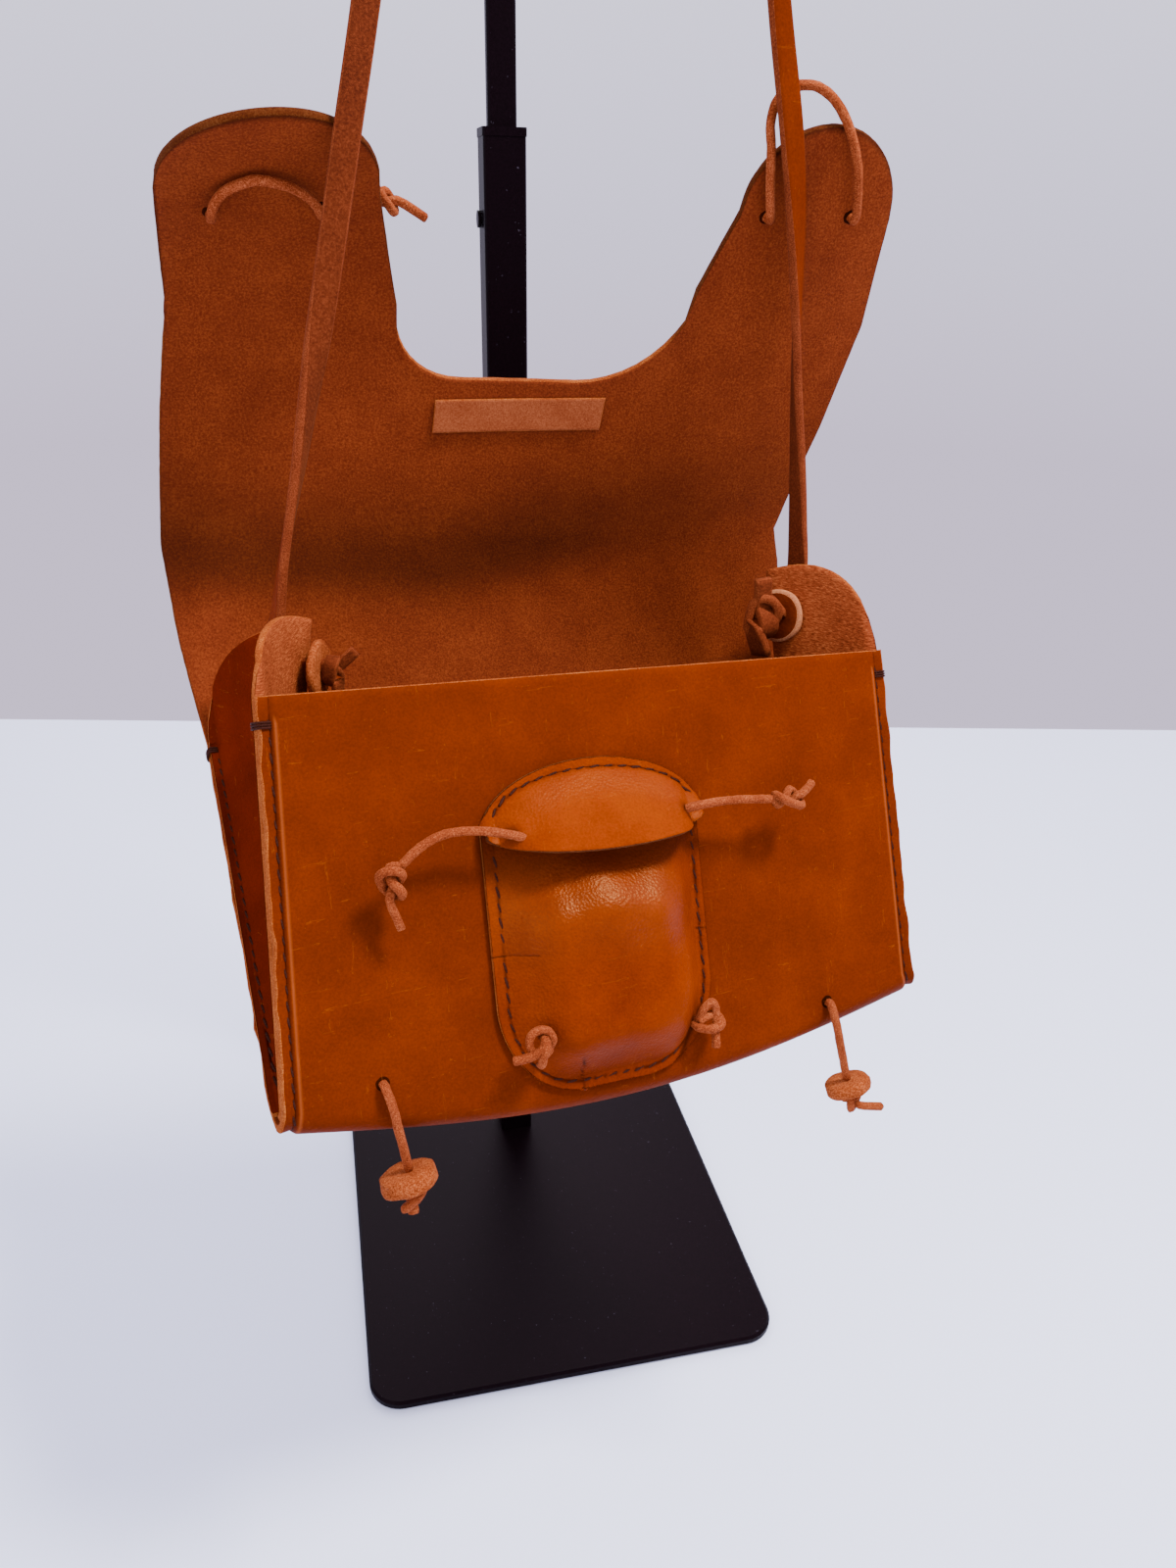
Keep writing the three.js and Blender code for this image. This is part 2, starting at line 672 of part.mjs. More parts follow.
// Height of the pouch over the front panel.
function pouchHeight(x, z) {
  const fromSide = pouchHalfWidth(z) - Math.abs(x - pocket.middle);
  const sideRise = x < pocket.middle ? pocket.rise.left : pocket.rise.right;
  const up = THREE.MathUtils.clamp((z - pocket.bottom) / (pocket.mouth - pocket.bottom), 0, 1);
  const crown = mix(pocket.height, pocket.mouthHeight, up ** 3);
  return crown * swell(fromSide, sideRise) * swell(z - pocket.bottom, pocket.rise.bottom);
}

function onFront(x, z, height, thickness) {
  return new THREE.Vector3(x, -(wall.shell / 2 + gap + thickness / 2 + height), z);
}

function pouchGrid() {
  const across = [-1, -0.87, -0.78, -0.66, -0.5, -0.2, 0.2, 0.5, 0.64, 0.74, 0.81, 0.87, 1];
  const down = [0, 0.2, 0.42, 0.62, 0.72, 0.79, 0.85, 0.9, 0.945, 1];
  return across.map((share) =>
    down.map((drop) => {
      const z = THREE.MathUtils.lerp(pocket.mouth, pocket.bottom, drop);
      const x = pocket.middle + share * pouchHalfWidth(z);
      return onFront(x, z, pouchHeight(x, z), wall.pocket);
    }),
  );
}

// The lid lies flat where it is stitched and stands over the pouch's mouth at its free edge.
function lidGrid() {
  const columns = 13;
  const grid = [];
  for (let i = 0; i < columns; i += 1) {
    const turn = rad(THREE.MathUtils.lerp(172, 8, i / (columns - 1)));
    const x = lid.middle + lid.halfWidth * Math.cos(turn);
    const top = lid.level + lid.archHeight * Math.sin(turn);
    const free = lid.level - lid.skirt * Math.sin(turn) - 0.8;
    const line = [0, 0.2, 0.38, 0.56, 0.78, 1].map((t) => {
      const z = THREE.MathUtils.lerp(top, free, t);
      const lift = THREE.MathUtils.smoothstep(t, 0.1, 0.6);
      const under = pouchHeight(x, Math.min(z, pocket.mouth));
      const edge = wall.pocket + gap + lid.clearance;
      return onFront(x, z, lift * (under + edge), wall.pocket);
    });
    grid.push(line);
  }
  return grid;
}

// ---- cords, knots and toggles, in the bag's frame ----

const cordRoutes = {
  lid_lace_left: [
    [-39, -14.4, -51.2],
    [-41.6, -14, -50.4],
    [-48, -14.4, -48.6],
    [-56, -14, -47.4],
    [-65, -14.2, -47.8],
    [-72.8, -14, -51.4],
    [-78, -13.4, -55.6],
  ],
  lid_lace_right: [
    [20, -14.4, -49],
    [22.4, -15.8, -48.4],
    [30, -16.2, -47.8],
    [38.5, -16, -47.9],
    [46, -16.2, -48.5],
    [53, -16.4, -49.2],
  ],
  toggle_cord_left: [
    [-88, -2, -124],
    [-87.9, -3.6, -124.4],
    [-86.4, -5.3, -130.8],
    [-85, -3.4, -138.5],
    [-83.4, -0.4, -146],
    [-81.6, 3.9, -154.3],
  ],
  toggle_cord_right: [
    [76.6, -2.1, -126.8],
    [76.7, -3.6, -127.4],
    [77.8, -4.6, -135],
    [79.8, -2.6, -142],
    [82.8, 0.8, -150],
    [86.4, 5.1, -158.7],
  ],
};
const lidKnots = {
  left: { centre: [-81.6, -13, -60], tail: [-79.4, -10, -74] },
  right: { centre: [58.6, -16.4, -49.8], tail: [67, -16.4, -45.6] },
};
const toggles = {
  left: {
    disc: [-81.7, 5, -158],
    axis: [0.19, 0.03, -0.98],
    radius: 9.6,
    thickness: 6,
    tail: [-82, 6, -168.5],
  },
  right: {
    disc: [87.4, 6.4, -162],
    axis: [0.22, 0.01, -0.97],
    radius: 8.8,
    thickness: 5.2,
    tail: [102.6, 8, -173.8],
  },
};
const cordKnotRadius = 4.9;

// Loops of cord on the flap's inner side, with both ends just inside the leather.
const earLoops = {
  left: [
    [-110.5, 12.5, 149.2],
    [-110.5, 11.2, 147.2],
    [-110.6, 8, 147],
    [-109.9, 4, 148.6],
    [-107.6, 1.1, 150.6],
    [-103.6, -2.6, 151.5],
    [-98.7, -5.2, 152.2],
    [-92.5, -5.6, 151.7],
    [-85.9, -3.3, 151],
    [-80.4, 0.6, 149.2],
    [-78.2, 3.8, 147.8],
    [-77.9, 5.4, 148.4],
    [-77.9, 6.1, 150.4],
  ],
  right: [
    [69.7, -16.9, 148.7],
    [69.7, -18.9, 147.1],
    [68.2, -22, 147.6],
    [66.6, -25, 150.4],
    [65.3, -28.2, 155.8],
    [63.9, -32.4, 163.8],
    [63, -34.6, 170.5],
    [64.3, -36.4, 176],
    [67.7, -38, 179.8],
    [72, -39.2, 181.3],
    [77.2, -40.8, 180.9],
    [82.1, -41.8, 177.8],
    [86.7, -41.8, 171.9],
    [91, -39.6, 165.4],
    [95.3, -35.2, 158.3],
    [98.6, -29.4, 152],
    [100.7, -25, 148.2],
    [101.2, -22.8, 147.6],
    [101.2, -21.1, 149.2],
  ],
};
const earTies = {
  left: { run: [[-105.7, 190], [-90, 190], [-72, 192], [-54, 194]], knot: [-52, 194.5], tail: [-38.4, 189] },
  right: { run: [[105, 193], [98, 193], [88, 193], [74.5, 194]], knot: [90, 193], tail: [92, 180] },
};

function onFlap(q, s, height) {
  return shellPoint(q, "flap", s, height);
}

function cordKnot(centre, tail) {
  const from = new THREE.Vector3(...centre);
  const to = new THREE.Vector3(...tail);
  const half = from.clone().lerp(to, 0.5);
  const run = cord([from.toArray(), half.toArray(), to.toArray()], cordDiameter, 3);
  const r = cordKnotRadius;
  return join(ball(centre, [r, r * 0.85, r]), run);
}

function buildCords() {
  for (const [name, points] of Object.entries(cordRoutes)) {
    place(bag, name, cord(points, cordDiameter, 7), finish.lace);
  }
  for (const [side, knot] of Object.entries(lidKnots)) {
    place(bag, `lid_knot_${side}`, cordKnot(knot.centre, knot.tail), finish.lace);
  }
  for (const [side, toggle] of Object.entries(toggles)) {
    const centre = new THREE.Vector3(...toggle.disc);
    const toggleAxis = new THREE.Vector3(...toggle.axis).normalize();
    const round = disc(centre, toggleAxis, toggle.radius, toggle.thickness, 18);
    place(bag, `toggle_disc_${side}`, round, finish.disc);
    const below = toggle.thickness / 2 + gap + cordKnotRadius * 0.92;
    const knot = centre.clone().addScaledVector(toggleAxis, below);
    const geometry = cordKnot(knot.toArray(), toggle.tail);
    const clear = disc(centre, toggleAxis, toggle.radius + 4, toggle.thickness + 2 * gap, 18);
    place(bag, `toggle_knot_${side}`, cut(geometry, clear), finish.lace);
  }
  for (const [side, points] of Object.entries(earLoops)) {
    place(bag, `ear_loop_${side}`, cord(points, cordDiameter, side === "left" ? 16 : 28), finish.lace);
  }
  const behind = -(wall.shell / 2 + gap + cordDiameter / 2 + 0.4);
  for (const [side, tie] of Object.entries(earTies)) {
    const run = tie.run.map(([q, s]) => onFlap(q, s, behind).toArray());
    const knot = onFlap(...tie.knot, behind - 2.9).toArray();
    const tail = onFlap(...tie.tail, behind - 1).toArray();
    place(bag, `ear_tie_${side}`, join(cord(run, cordDiameter, 5), cordKnot(knot, tail)), finish.lace);
  }
}

const pocketTies = {
  left: { ring: [-39, -117], off: 2.1, tail: [-9, 0, -3.5] },
  right: { ring: [23.8, -122.3], off: 1.95, tail: [1, -1.5, -10] },
};

// A short tie at a lower corner of the pouch: a turned ring of cord with its tail.
function pocketTie(tie) {
  const [x, z] = tie.ring;
  const surface = pouchHeight(x, z) + wall.shell / 2 + gap + wall.pocket;
  const away = surface + gap + cordKnotRadius + tie.off;
  const centre = [x, -away, z];
  const tail = [x + tie.tail[0], -away + tie.tail[1], z + tie.tail[2]];
  return cordKnot(centre, tail);
}

function buildBag() {
  place(bag, "shell", wallSolid(shellGrid(), wall.shell), finish.grain);
  for (const side of ["left", "right"]) {
    const slot = slotTool(side);
    place(bag, `gusset_${side}`, cut(wallSolid(gussetGrid(side), wall.gusset), slot), finish.gusset);
    place(bag, `strap_washer_${side}`, cut(strapWasher(side), slot), finish.disc);
    place(bag, `pocket_tie_${side}`, pocketTie(pocketTies[side]), finish.lace);
  }
  place(bag, "pocket_pouch", wallSolid(pouchGrid(), wall.pocket), finish.grain);
  place(bag, "pocket_lid", wallSolid(lidGrid(), wall.pocket), finish.lid);
  buildCords();
  const strap = join(strapBand(0, -1, 0, 3), ...strapKnotBodies("left"), ...strapKnotBodies("right"));
  place(root, "strap", strap, finish.grain);
}

const label = { left: -29, right: 32, bottom: 116, top: 128.5, slant: 2 };

function labelGrid() {
  const lift = wall.shell / 2 + gap + wall.label / 2;
  return [0, 0.2, 0.4, 0.6, 0.8, 1].map((share) =>
    [0, 0.5, 1].map((up) => {
      const q = THREE.MathUtils.lerp(label.left, label.right, share) + up * label.slant;
      return onFlap(q, THREE.MathUtils.lerp(label.bottom, label.top, up), lift);
    }),
  );
}

// ---- stand ----

function roundedSquare(width, depth, radius) {
  const shape = new THREE.Shape();
  const x = width / 2;
  const y = depth / 2;
  shape.moveTo(-x + radius, -y);
  shape.lineTo(x - radius, -y);
  shape.absarc(x - radius, -y + radius, radius, -Math.PI / 2, 0);
  shape.lineTo(x, y - radius);
  shape.absarc(x - radius, y - radius, radius, 0, Math.PI / 2);
  shape.lineTo(-x + radius, y);
  shape.absarc(-x + radius, y - radius, radius, Math.PI / 2, Math.PI);
  shape.lineTo(-x, -y + radius);
  shape.absarc(-x + radius, -y + radius, radius, Math.PI, 1.5 * Math.PI);
  return shape;
}

function tube(outer, inner, bottom, top, corner = 1.6) {
  const shape = roundedSquare(...outer, corner);
  if (inner) shape.holes.push(roundedSquare(...inner, corner / 2));
  const options = { depth: top - bottom, bevelEnabled: false, curveSegments: 2 };
  return new THREE.ExtrudeGeometry(shape, options).translate(stand.postX, stand.postY, bottom);
}

function basePlate() {
  const bevel = stand.baseBevel;
  const width = stand.baseWidth - 2 * bevel;
  const depth = stand.baseDepth - 2 * bevel;
  const options = {
    depth: stand.baseThickness - 2 * bevel,
    bevelThickness: bevel,
    bevelSize: bevel,
    bevelSegments: 1,
    curveSegments: 5,
  };
  const plate = new THREE.ExtrudeGeometry(roundedSquare(width, depth, stand.baseCorner - bevel), options);
  return plate.translate(0, 0, bevel);
}

function hookArm() {
  const block = new THREE.BoxGeometry(stand.lowerSize, stand.lowerSize, 24);
  block.translate(stand.postX, stand.postY, stand.upperTop + gap + 12);
  const bendRadius = 10;
  const straightEnd = stand.hookEndY + bendRadius;
  const path = new THREE.CurvePath();
  const at = (y, z) => new THREE.Vector3(stand.postX, y, z);
  const height = stand.hookHeight;
  path.add(new THREE.LineCurve3(at(stand.postY, height), at(straightEnd, height)));
  const corner = at(stand.hookEndY, height);
  const rise = at(stand.hookEndY, height + bendRadius);
  path.add(new THREE.QuadraticBezierCurve3(at(straightEnd, height), corner, rise));
  path.add(new THREE.LineCurve3(rise, at(stand.hookEndY, height + stand.hookTip)));
  const section = new THREE.Shape();
  section.absarc(0, 0, stand.hookRadius, 0, 2 * Math.PI);
  const rod = new THREE.ExtrudeGeometry(section, {
    steps: 16,
    curveSegments: 6,
    bevelEnabled: false,
    extrudePath: path,
  });
  return join(block, rod);
}

function buildStand() {
  place(root, "stand_base", basePlate(), finish.coated);
  const floor = stand.baseThickness + gap;
  const collarBottom = stand.lowerTop - stand.collarHeight;
  const square = (size) => [size, size];
  const upper = [stand.upperWidth, stand.upperDepth];
  const bore = square(stand.lowerSize - 2 * stand.lowerWall);
  const lower = tube(square(stand.lowerSize), bore, floor, collarBottom + 1);
  const collarBore = upper.map((size) => size + 2 * gap);
  const collar = tube(square(stand.collarSize), collarBore, collarBottom, stand.lowerTop);
  place(root, "stand_lower_tube", join(lower, collar), finish.coated);
  place(root, "stand_upper_tube", tube(upper, null, stand.upperBottom, stand.upperTop), finish.coated);
  const out = stand.lowerSize / 2 + gap + stand.screwLength / 2;
  const screwCentre = new THREE.Vector3(stand.postX - out, stand.postY, stand.screwHeight);
  const screw = disc(screwCentre, new THREE.Vector3(1, 0, 0), stand.screwRadius, stand.screwLength, 16);
  place(root, "stand_screw", screw, finish.coated);
  place(root, "stand_hook", hookArm(), finish.coated);
}

buildBag();
place(bag, "label_patch", wallSolid(labelGrid(), wall.label), finish.label);
buildStand();

export default root;
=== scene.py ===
# A hand-sewn leather crossbody bag, open, hanging from a black counter stand.
# Lengths below are in millimetres and are turned to metres when a mesh is made.
# The bag has its own axes: x across, y into the bag, z up the front panel, and its origin is the
# middle of the front panel's top edge.
import math

import bmesh
import bpy
import numpy as np
from mathutils import Matrix, Vector, noise


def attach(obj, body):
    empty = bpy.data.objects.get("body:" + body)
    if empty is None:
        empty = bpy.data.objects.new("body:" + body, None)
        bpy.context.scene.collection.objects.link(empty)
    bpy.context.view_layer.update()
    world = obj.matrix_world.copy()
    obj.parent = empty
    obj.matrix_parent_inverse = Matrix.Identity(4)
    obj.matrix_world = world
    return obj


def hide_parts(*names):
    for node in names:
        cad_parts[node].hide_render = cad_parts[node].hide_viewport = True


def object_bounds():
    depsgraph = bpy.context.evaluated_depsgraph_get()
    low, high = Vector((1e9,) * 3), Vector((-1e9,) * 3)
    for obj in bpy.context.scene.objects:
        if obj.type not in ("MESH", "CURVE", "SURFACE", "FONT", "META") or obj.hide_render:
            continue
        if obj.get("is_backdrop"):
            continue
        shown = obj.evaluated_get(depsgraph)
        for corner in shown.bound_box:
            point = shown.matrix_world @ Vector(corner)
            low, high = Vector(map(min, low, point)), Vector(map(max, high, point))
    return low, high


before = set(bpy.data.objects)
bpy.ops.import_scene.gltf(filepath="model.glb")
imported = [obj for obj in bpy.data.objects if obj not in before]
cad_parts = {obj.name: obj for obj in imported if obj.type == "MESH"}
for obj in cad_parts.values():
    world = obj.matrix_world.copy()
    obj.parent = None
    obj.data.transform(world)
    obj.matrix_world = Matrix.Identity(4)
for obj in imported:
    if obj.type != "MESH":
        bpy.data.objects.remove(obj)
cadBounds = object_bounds()

gap = 0.3
wall = {"shell": 2.8, "gusset": 2.4, "strap": 3.0, "pocket": 2.0, "label": 1.2, "washer": 2.8}
cordDiameter = 3.1
bagPose = {"x": -3, "y": -144, "z": 372, "yaw": 9.7, "tilt": -23.8, "roll": 3}


def turnMatrix(axis, degrees):
    return np.array(Matrix.Rotation(math.radians(degrees), 3, axis))


bagTurn = turnMatrix("Z", bagPose["yaw"]) @ turnMatrix("Y", bagPose["roll"])
bagTurn = bagTurn @ turnMatrix("X", bagPose["tilt"])
bagPlace = np.array([bagPose["x"], bagPose["y"], bagPose["z"]], float)


def toRow(points):
    return np.asarray(points, float) @ bagTurn.T + bagPlace


def mix(a, b, t):
    return a + (b - a) * t


def clamp(value, low=0.0, high=1.0):
    return min(max(value, low), high)


def smooth(t, low=0.0, high=1.0):
    t = clamp((t - low) / (high - low))
    return t * t * (3 - 2 * t)


def unit(vector):
    vector = np.asarray(vector, float)
    return vector / (np.linalg.norm(vector) + 1e-12)


def curvePoints(points, perSpan=8, tangents=False):
    # centripetal Catmull-Rom through every point
    p = [np.asarray(q, float) for q in points]
    full = [2 * p[0] - p[1], *p, 2 * p[-1] - p[-2]]
    out = []
    slopes = []
    for i in range(len(p) - 1):
        a, b, c, d = full[i : i + 4]
        g0, g1, g2 = (max(np.linalg.norm(v - u), 1e-4) ** 0.5 for u, v in ((a, b), (b, c), (c, d)))
        m1 = ((b - a) / g0 - (c - a) / (g0 + g1) + (c - b) / g1) * g1
        m2 = ((c - b) / g1 - (d - b) / (g1 + g2) + (d - c) / g2) * g1
        squared = -3 * b + 3 * c - 2 * m1 - m2
        cubed = 2 * b - 2 * c + m1 + m2
        last = perSpan + 1 if i == len(p) - 2 else perSpan
        for k in range(last):
            t = k / perSpan
            out.append(b + m1 * t + squared * t**2 + cubed * t**3)
            slopes.append(m1 + 2 * t * squared + 3 * t * t * cubed)
    return (np.array(out), np.array(slopes)) if tangents else np.array(out)


def addThing(name, data):
    thing = bpy.data.objects.new(name, data)
    bpy.context.scene.collection.objects.link(thing)
    return thing


# the camera first, place in millimetres and turns in degrees
viewFacts = {"x": -93, "y": -509, "z": 510, "azimuth": 13.29, "pitch": 25.67, "roll": -1.08}
viewFacts |= {"lens": 27.05, "sensor": 36, "nearest": 0.01}


def addCamera():
    a, p, r = (math.radians(viewFacts[key]) for key in ("azimuth", "pitch", "roll"))
    ahead = Vector((math.sin(a) * math.cos(p), math.cos(a) * math.cos(p), -math.sin(p)))
    right = Vector((math.cos(a), -math.sin(a), 0))
    down = ahead.cross(right)
    c, s = math.cos(r), math.sin(r)
    right, down = c * right + s * down, -s * right + c * down
    data = bpy.data.cameras.new("camera")
    data.lens = viewFacts["lens"]
    data.sensor_width = viewFacts["sensor"]
    data.sensor_fit = "AUTO"
    data.clip_start = viewFacts["nearest"]
    turn = Matrix((right, -down, -ahead)).transposed().to_4x4()
    turn.translation = Vector((viewFacts["x"], viewFacts["y"], viewFacts["z"])) / 1000
    camera = addThing("camera", data)
    camera.matrix_world = turn
    bpy.context.scene.camera = camera


addCamera()
print("camera placed")


def linear(hexValue):
    parts = [((hexValue >> shift) & 255) / 255 for shift in (16, 8, 0)]
    parts = [c / 12.92 if c <= 0.04045 else ((c + 0.055) / 1.055) ** 2.4 for c in parts]
    return (*parts, 1.0)


def fillNode(node, settings):
    # a node or socket is linked, anything else is set on the input of that name or on the node
    for key, value in settings.items():
        if isinstance(value, bpy.types.Node):
            value = value.outputs[0]
        if isinstance(value, bpy.types.NodeSocket):
            node.id_data.links.new(value, node.inputs[key])
        elif key == "stops":
            elements = node.color_ramp.elements
            while len(elements) < len(value):
                elements.new(0.5)
            for element, (position, shown) in zip(elements, value):
                element.position = position
                isColour = isinstance(shown, int)
                element.color = linear(shown) if isColour else (shown, shown, shown, 1)
        elif isinstance(key, int) or key in node.inputs:
            node.inputs[key].default_value = value
        else:
            setattr(node, key, value)
    return node


def addNode(tree, kind, settings=None):
    return fillNode(tree.nodes.new(kind), settings or {})


def startMaterial(name):
    material = bpy.data.materials.new(name)
    material.use_nodes = True
    tree = material.node_tree
    place = addNode(tree, "ShaderNodeTexCoord").outputs["Object"]
    return material, tree, tree.nodes["Principled BSDF"], place


def pattern(place, size, detail=4, roughness=0.55):
    # settings of a noise whose lumps are about this many millimetres wide
    return {"Vector": place, "Scale": 1000 / size, "Detail": detail, "Roughness": roughness}


def over(amount, under, upper, way="MIX"):
    # settings that lay one colour over another
    return {"data_type": "RGBA", "blend_type": way, 0: amount, 6: under, 7: upper}


def relief(tree, layers):
    # each layer is a height, how strong it is and how deep in millimetres
    normal = None
    for height, strength, depth in layers:
        settings = {"Height": height, "Strength": strength, "Distance": depth / 1000}
        if normal is not None:
            settings["Normal"] = normal
        normal = addNode(tree, "ShaderNodeBump", settings)
    return normal


# vegetable-tanned cowhide, grain side: waxed and rubbed, so a soft gloss with a faint mottle
# sizes in millimetres; the scratches are drawn wider than real ones, so that they show
grainLook = {"mottle": 26, "speckle": 0.8, "scratch": 16, "pore": 0.6, "wave": 7}
grainLook |= {"scratchWays": ((1.0, 1.0, 12.0), (11.0, 1.0, 1.3), (7.0, 2.0, 9.0))}
# one darker colour is for pressed grooves and painted shade, one lighter for a painted highlight
# along seam creases
grainLook |= {"scratchShare": 0.26, "scratchColour": 0xA0521C, "pressAndShadeColour": 0x180401}
grainLook |= {"paintedHighlightColour": 0xA8562A, "tint": 0xF0A860, "polish": 0.42}


def grainLeather(name, dark, middle, light, roughness, pebble=0.25, shine=0.12, pebbleSize=1.3):
    material, tree, shader, place = startMaterial(name)
    mottle = addNode(tree, "ShaderNodeTexNoise", pattern(place, grainLook["mottle"], 6, 0.6))
    stops = [(0.24, dark), (0.5, middle), (0.78, light)]
    colour = addNode(tree, "ShaderNodeValToRGB", {"Fac": mottle, "stops": stops})
    speckle = addNode(tree, "ShaderNodeTexNoise", pattern(place, grainLook["speckle"], 3))
    stops = [(0.35, 0.74), (0.62, 1.0)]
    speckle = addNode(tree, "ShaderNodeValToRGB", {"Fac": speckle, "stops": stops})
    colour = addNode(tree, "ShaderNodeMix", over(0.7, colour, speckle, "MULTIPLY")).outputs[2]
    for way in grainLook["scratchWays"]:
        drawn = addNode(tree, "ShaderNodeMapping", {"Scale": way, "Vector": place})
        scratch = addNode(tree, "ShaderNodeTexNoise", pattern(drawn, grainLook["scratch"], 2, 0.5))
        stops = [(0.705, 0.0), (0.719, grainLook["scratchShare"]), (0.733, 0.0)]
        mask = addNode(tree, "ShaderNodeValToRGB", {"Fac": scratch, "stops": stops})
        scratched = over(mask, colour, linear(grainLook["scratchColour"]))
        colour = addNode(tree, "ShaderNodeMix", scratched).outputs[2]
    # the shade attribute lays painted shade and the darkening of pressed grooves over the colour;
    # where it is negative it paints a highlight
    pressAndShade = addNode(tree, "ShaderNodeAttribute", {"attribute_name": "shade"}).outputs["Fac"]
    paintedHighlight = {"operation": "MULTIPLY", "use_clamp": True, 0: pressAndShade, 1: -1.0}
    paintedHighlight = addNode(tree, "ShaderNodeMath", paintedHighlight)
    for amount, shown in ((pressAndShade, "pressAndShadeColour"), (paintedHighlight.outputs[0], "paintedHighlightColour")):
        shaded = over(amount, colour, linear(grainLook[shown]))
        colour = addNode(tree, "ShaderNodeMix", shaded).outputs[2]
    polish = addNode(tree, "ShaderNodeAttribute", {"attribute_name": "polish"}).outputs["Fac"]
    gloss = {"Value": polish, "To Min": shine, "To Max": shine + grainLook["polish"]}
    rough = {"Value": mottle, "To Min": roughness - 0.07, "To Max": roughness + 0.1}
    pebbles = {"Vector": place, "Scale": 1000 / pebbleSize}
    pebbles = addNode(tree, "ShaderNodeTexVoronoi", pebbles)
    pores = addNode(tree, "ShaderNodeTexNoise", pattern(place, grainLook["pore"], 3))
    waves = addNode(tree, "ShaderNodeTexNoise", pattern(place, grainLook["wave"], 4))
    settings = {
        "Base Color": colour,
        "Specular IOR Level": addNode(tree, "ShaderNodeMapRange", gloss),
        "Roughness": addNode(tree, "ShaderNodeMapRange", rough),
        "Normal": relief(tree, [(pebbles, pebble, 0.18), (pores, 0.4, 0.08), (waves, 0.22, 0.5)]),
        "Specular Tint": linear(grainLook["tint"]),
        "IOR": 1.4,
    }
    fillNode(shader, settings)
    return material


# flesh side or cut edge of the same hide: short matted fibre, no gloss, finely speckled
# the fibres are drawn about five times as coarse as real ones, so that they show
fibreLook = {"broad": 18, "fine": 0.75, "fineShare": 0.78, "lump": 3.5}
# a dark colour for painted shade and pressed lines
fibreLook |= {"pressAndShadeColour": 0x180603, "tint": 0xE09050}


def fibreLeather(name, dark, middle, light, size=1.0, stretch=None, depth=0.35):
    material, tree, shader, place = startMaterial(name)
    broad = addNode(tree, "ShaderNodeTexNoise", pattern(place, fibreLook["broad"] * size, 4, 0.6))
    drawn = place
    if stretch:
        drawn = addNode(tree, "ShaderNodeMapping", {"Scale": stretch, "Vector": place})
    fine = addNode(tree, "ShaderNodeTexNoise", pattern(drawn, fibreLook["fine"] * size, 5, 0.7))
    both = addNode(tree, "ShaderNodeMix", {"Factor": fibreLook["fineShare"], "A": broad, "B": fine})
    stops = [(0.36, dark), (0.5, middle), (0.64, light)]
    colour = addNode(tree, "ShaderNodeValToRGB", {"Fac": both, "stops": stops})
    # painted shade: the shade and hollow attributes darken the colour
    for shown in ("shade", "hollow"):
        amount = addNode(tree, "ShaderNodeAttribute", {"attribute_name": shown}).outputs["Fac"]
        shaded = over(amount, colour, linear(fibreLook["pressAndShadeColour"]))
        colour = addNode(tree, "ShaderNodeMix", shaded).outputs[2]
    lumps = addNode(tree, "ShaderNodeTexNoise", pattern(place, fibreLook["lump"] * size, 4))
    settings = {
        "Base Color": colour,
        "Normal": relief(tree, [(fine, 0.6, depth), (lumps, 0.25, 0.4)]),
        "Roughness": 0.95,
        "IOR": 1.45,
        "Specular IOR Level": 0.04,
        "Sheen Weight": 0.03,
        "Sheen Roughness": 0.5,
        "Sheen Tint": linear(fibreLook["tint"]),
    }
    fillNode(shader, settings)
    return material


# waxed linen thread: dark, rounded, slightly glossy
threadLook = {"strand": 0.5, "light": 0x3A1C14}


def waxedThread(name, colour):
    material, tree, shader, place = startMaterial(name)
    strands = addNode(tree, "ShaderNodeTexNoise", pattern(place, threadLook["strand"], 2))
    stops = [(0.35, colour), (0.7, threadLook["light"])]
    settings = {
        "Base Color": addNode(tree, "ShaderNodeValToRGB", {"Fac": strands, "stops": stops}),
        "Normal": relief(tree, [(strands, 0.4, 0.1)]),
        "Roughness": 0.6,
        "IOR": 1.5,
        "Specular IOR Level": 0.03,
    }
    fillNode(shader, settings)
    return material


# powder-coated steel: fine orange-peel, matt with a broad soft reflection and a little dust
coatLook = {"peel": 0.9, "dust": 1.4, "dustShare": 0.25, "dustColour": 0x6A6070, "tint": 0xF0C8D8}


def powderCoat(name, dark, light):
    material, tree, shader, place = startMaterial(name)
    peel = addNode(tree, "ShaderNodeTexNoise", pattern(place, coatLook["peel"], 3))
    stops = [(0.3, dark), (0.7, light)]
    colour = addNode(tree, "ShaderNodeValToRGB", {"Fac": peel, "stops": stops})
    dust = addNode(tree, "ShaderNodeTexNoise", pattern(place, coatLook["dust"], 2))
    stops = [(0.735, 0.0), (0.76, coatLook["dustShare"])]
    dust = addNode(tree, "ShaderNodeValToRGB", {"Fac": dust, "stops": stops})
    dusty = over(dust, colour, linear(coatLook["dustColour"]))
    settings = {
        "Base Color": addNode(tree, "ShaderNodeMix", dusty).outputs[2],
        "Normal": relief(tree, [(peel, 0.2, 0.06)]),
        "Roughness": 0.42,
        "IOR": 1.5,
        "Specular IOR Level": 0.05,
        "Specular Tint": linear(coatLook["tint"]),
    }
    fillNode(shader, settings)
    return material


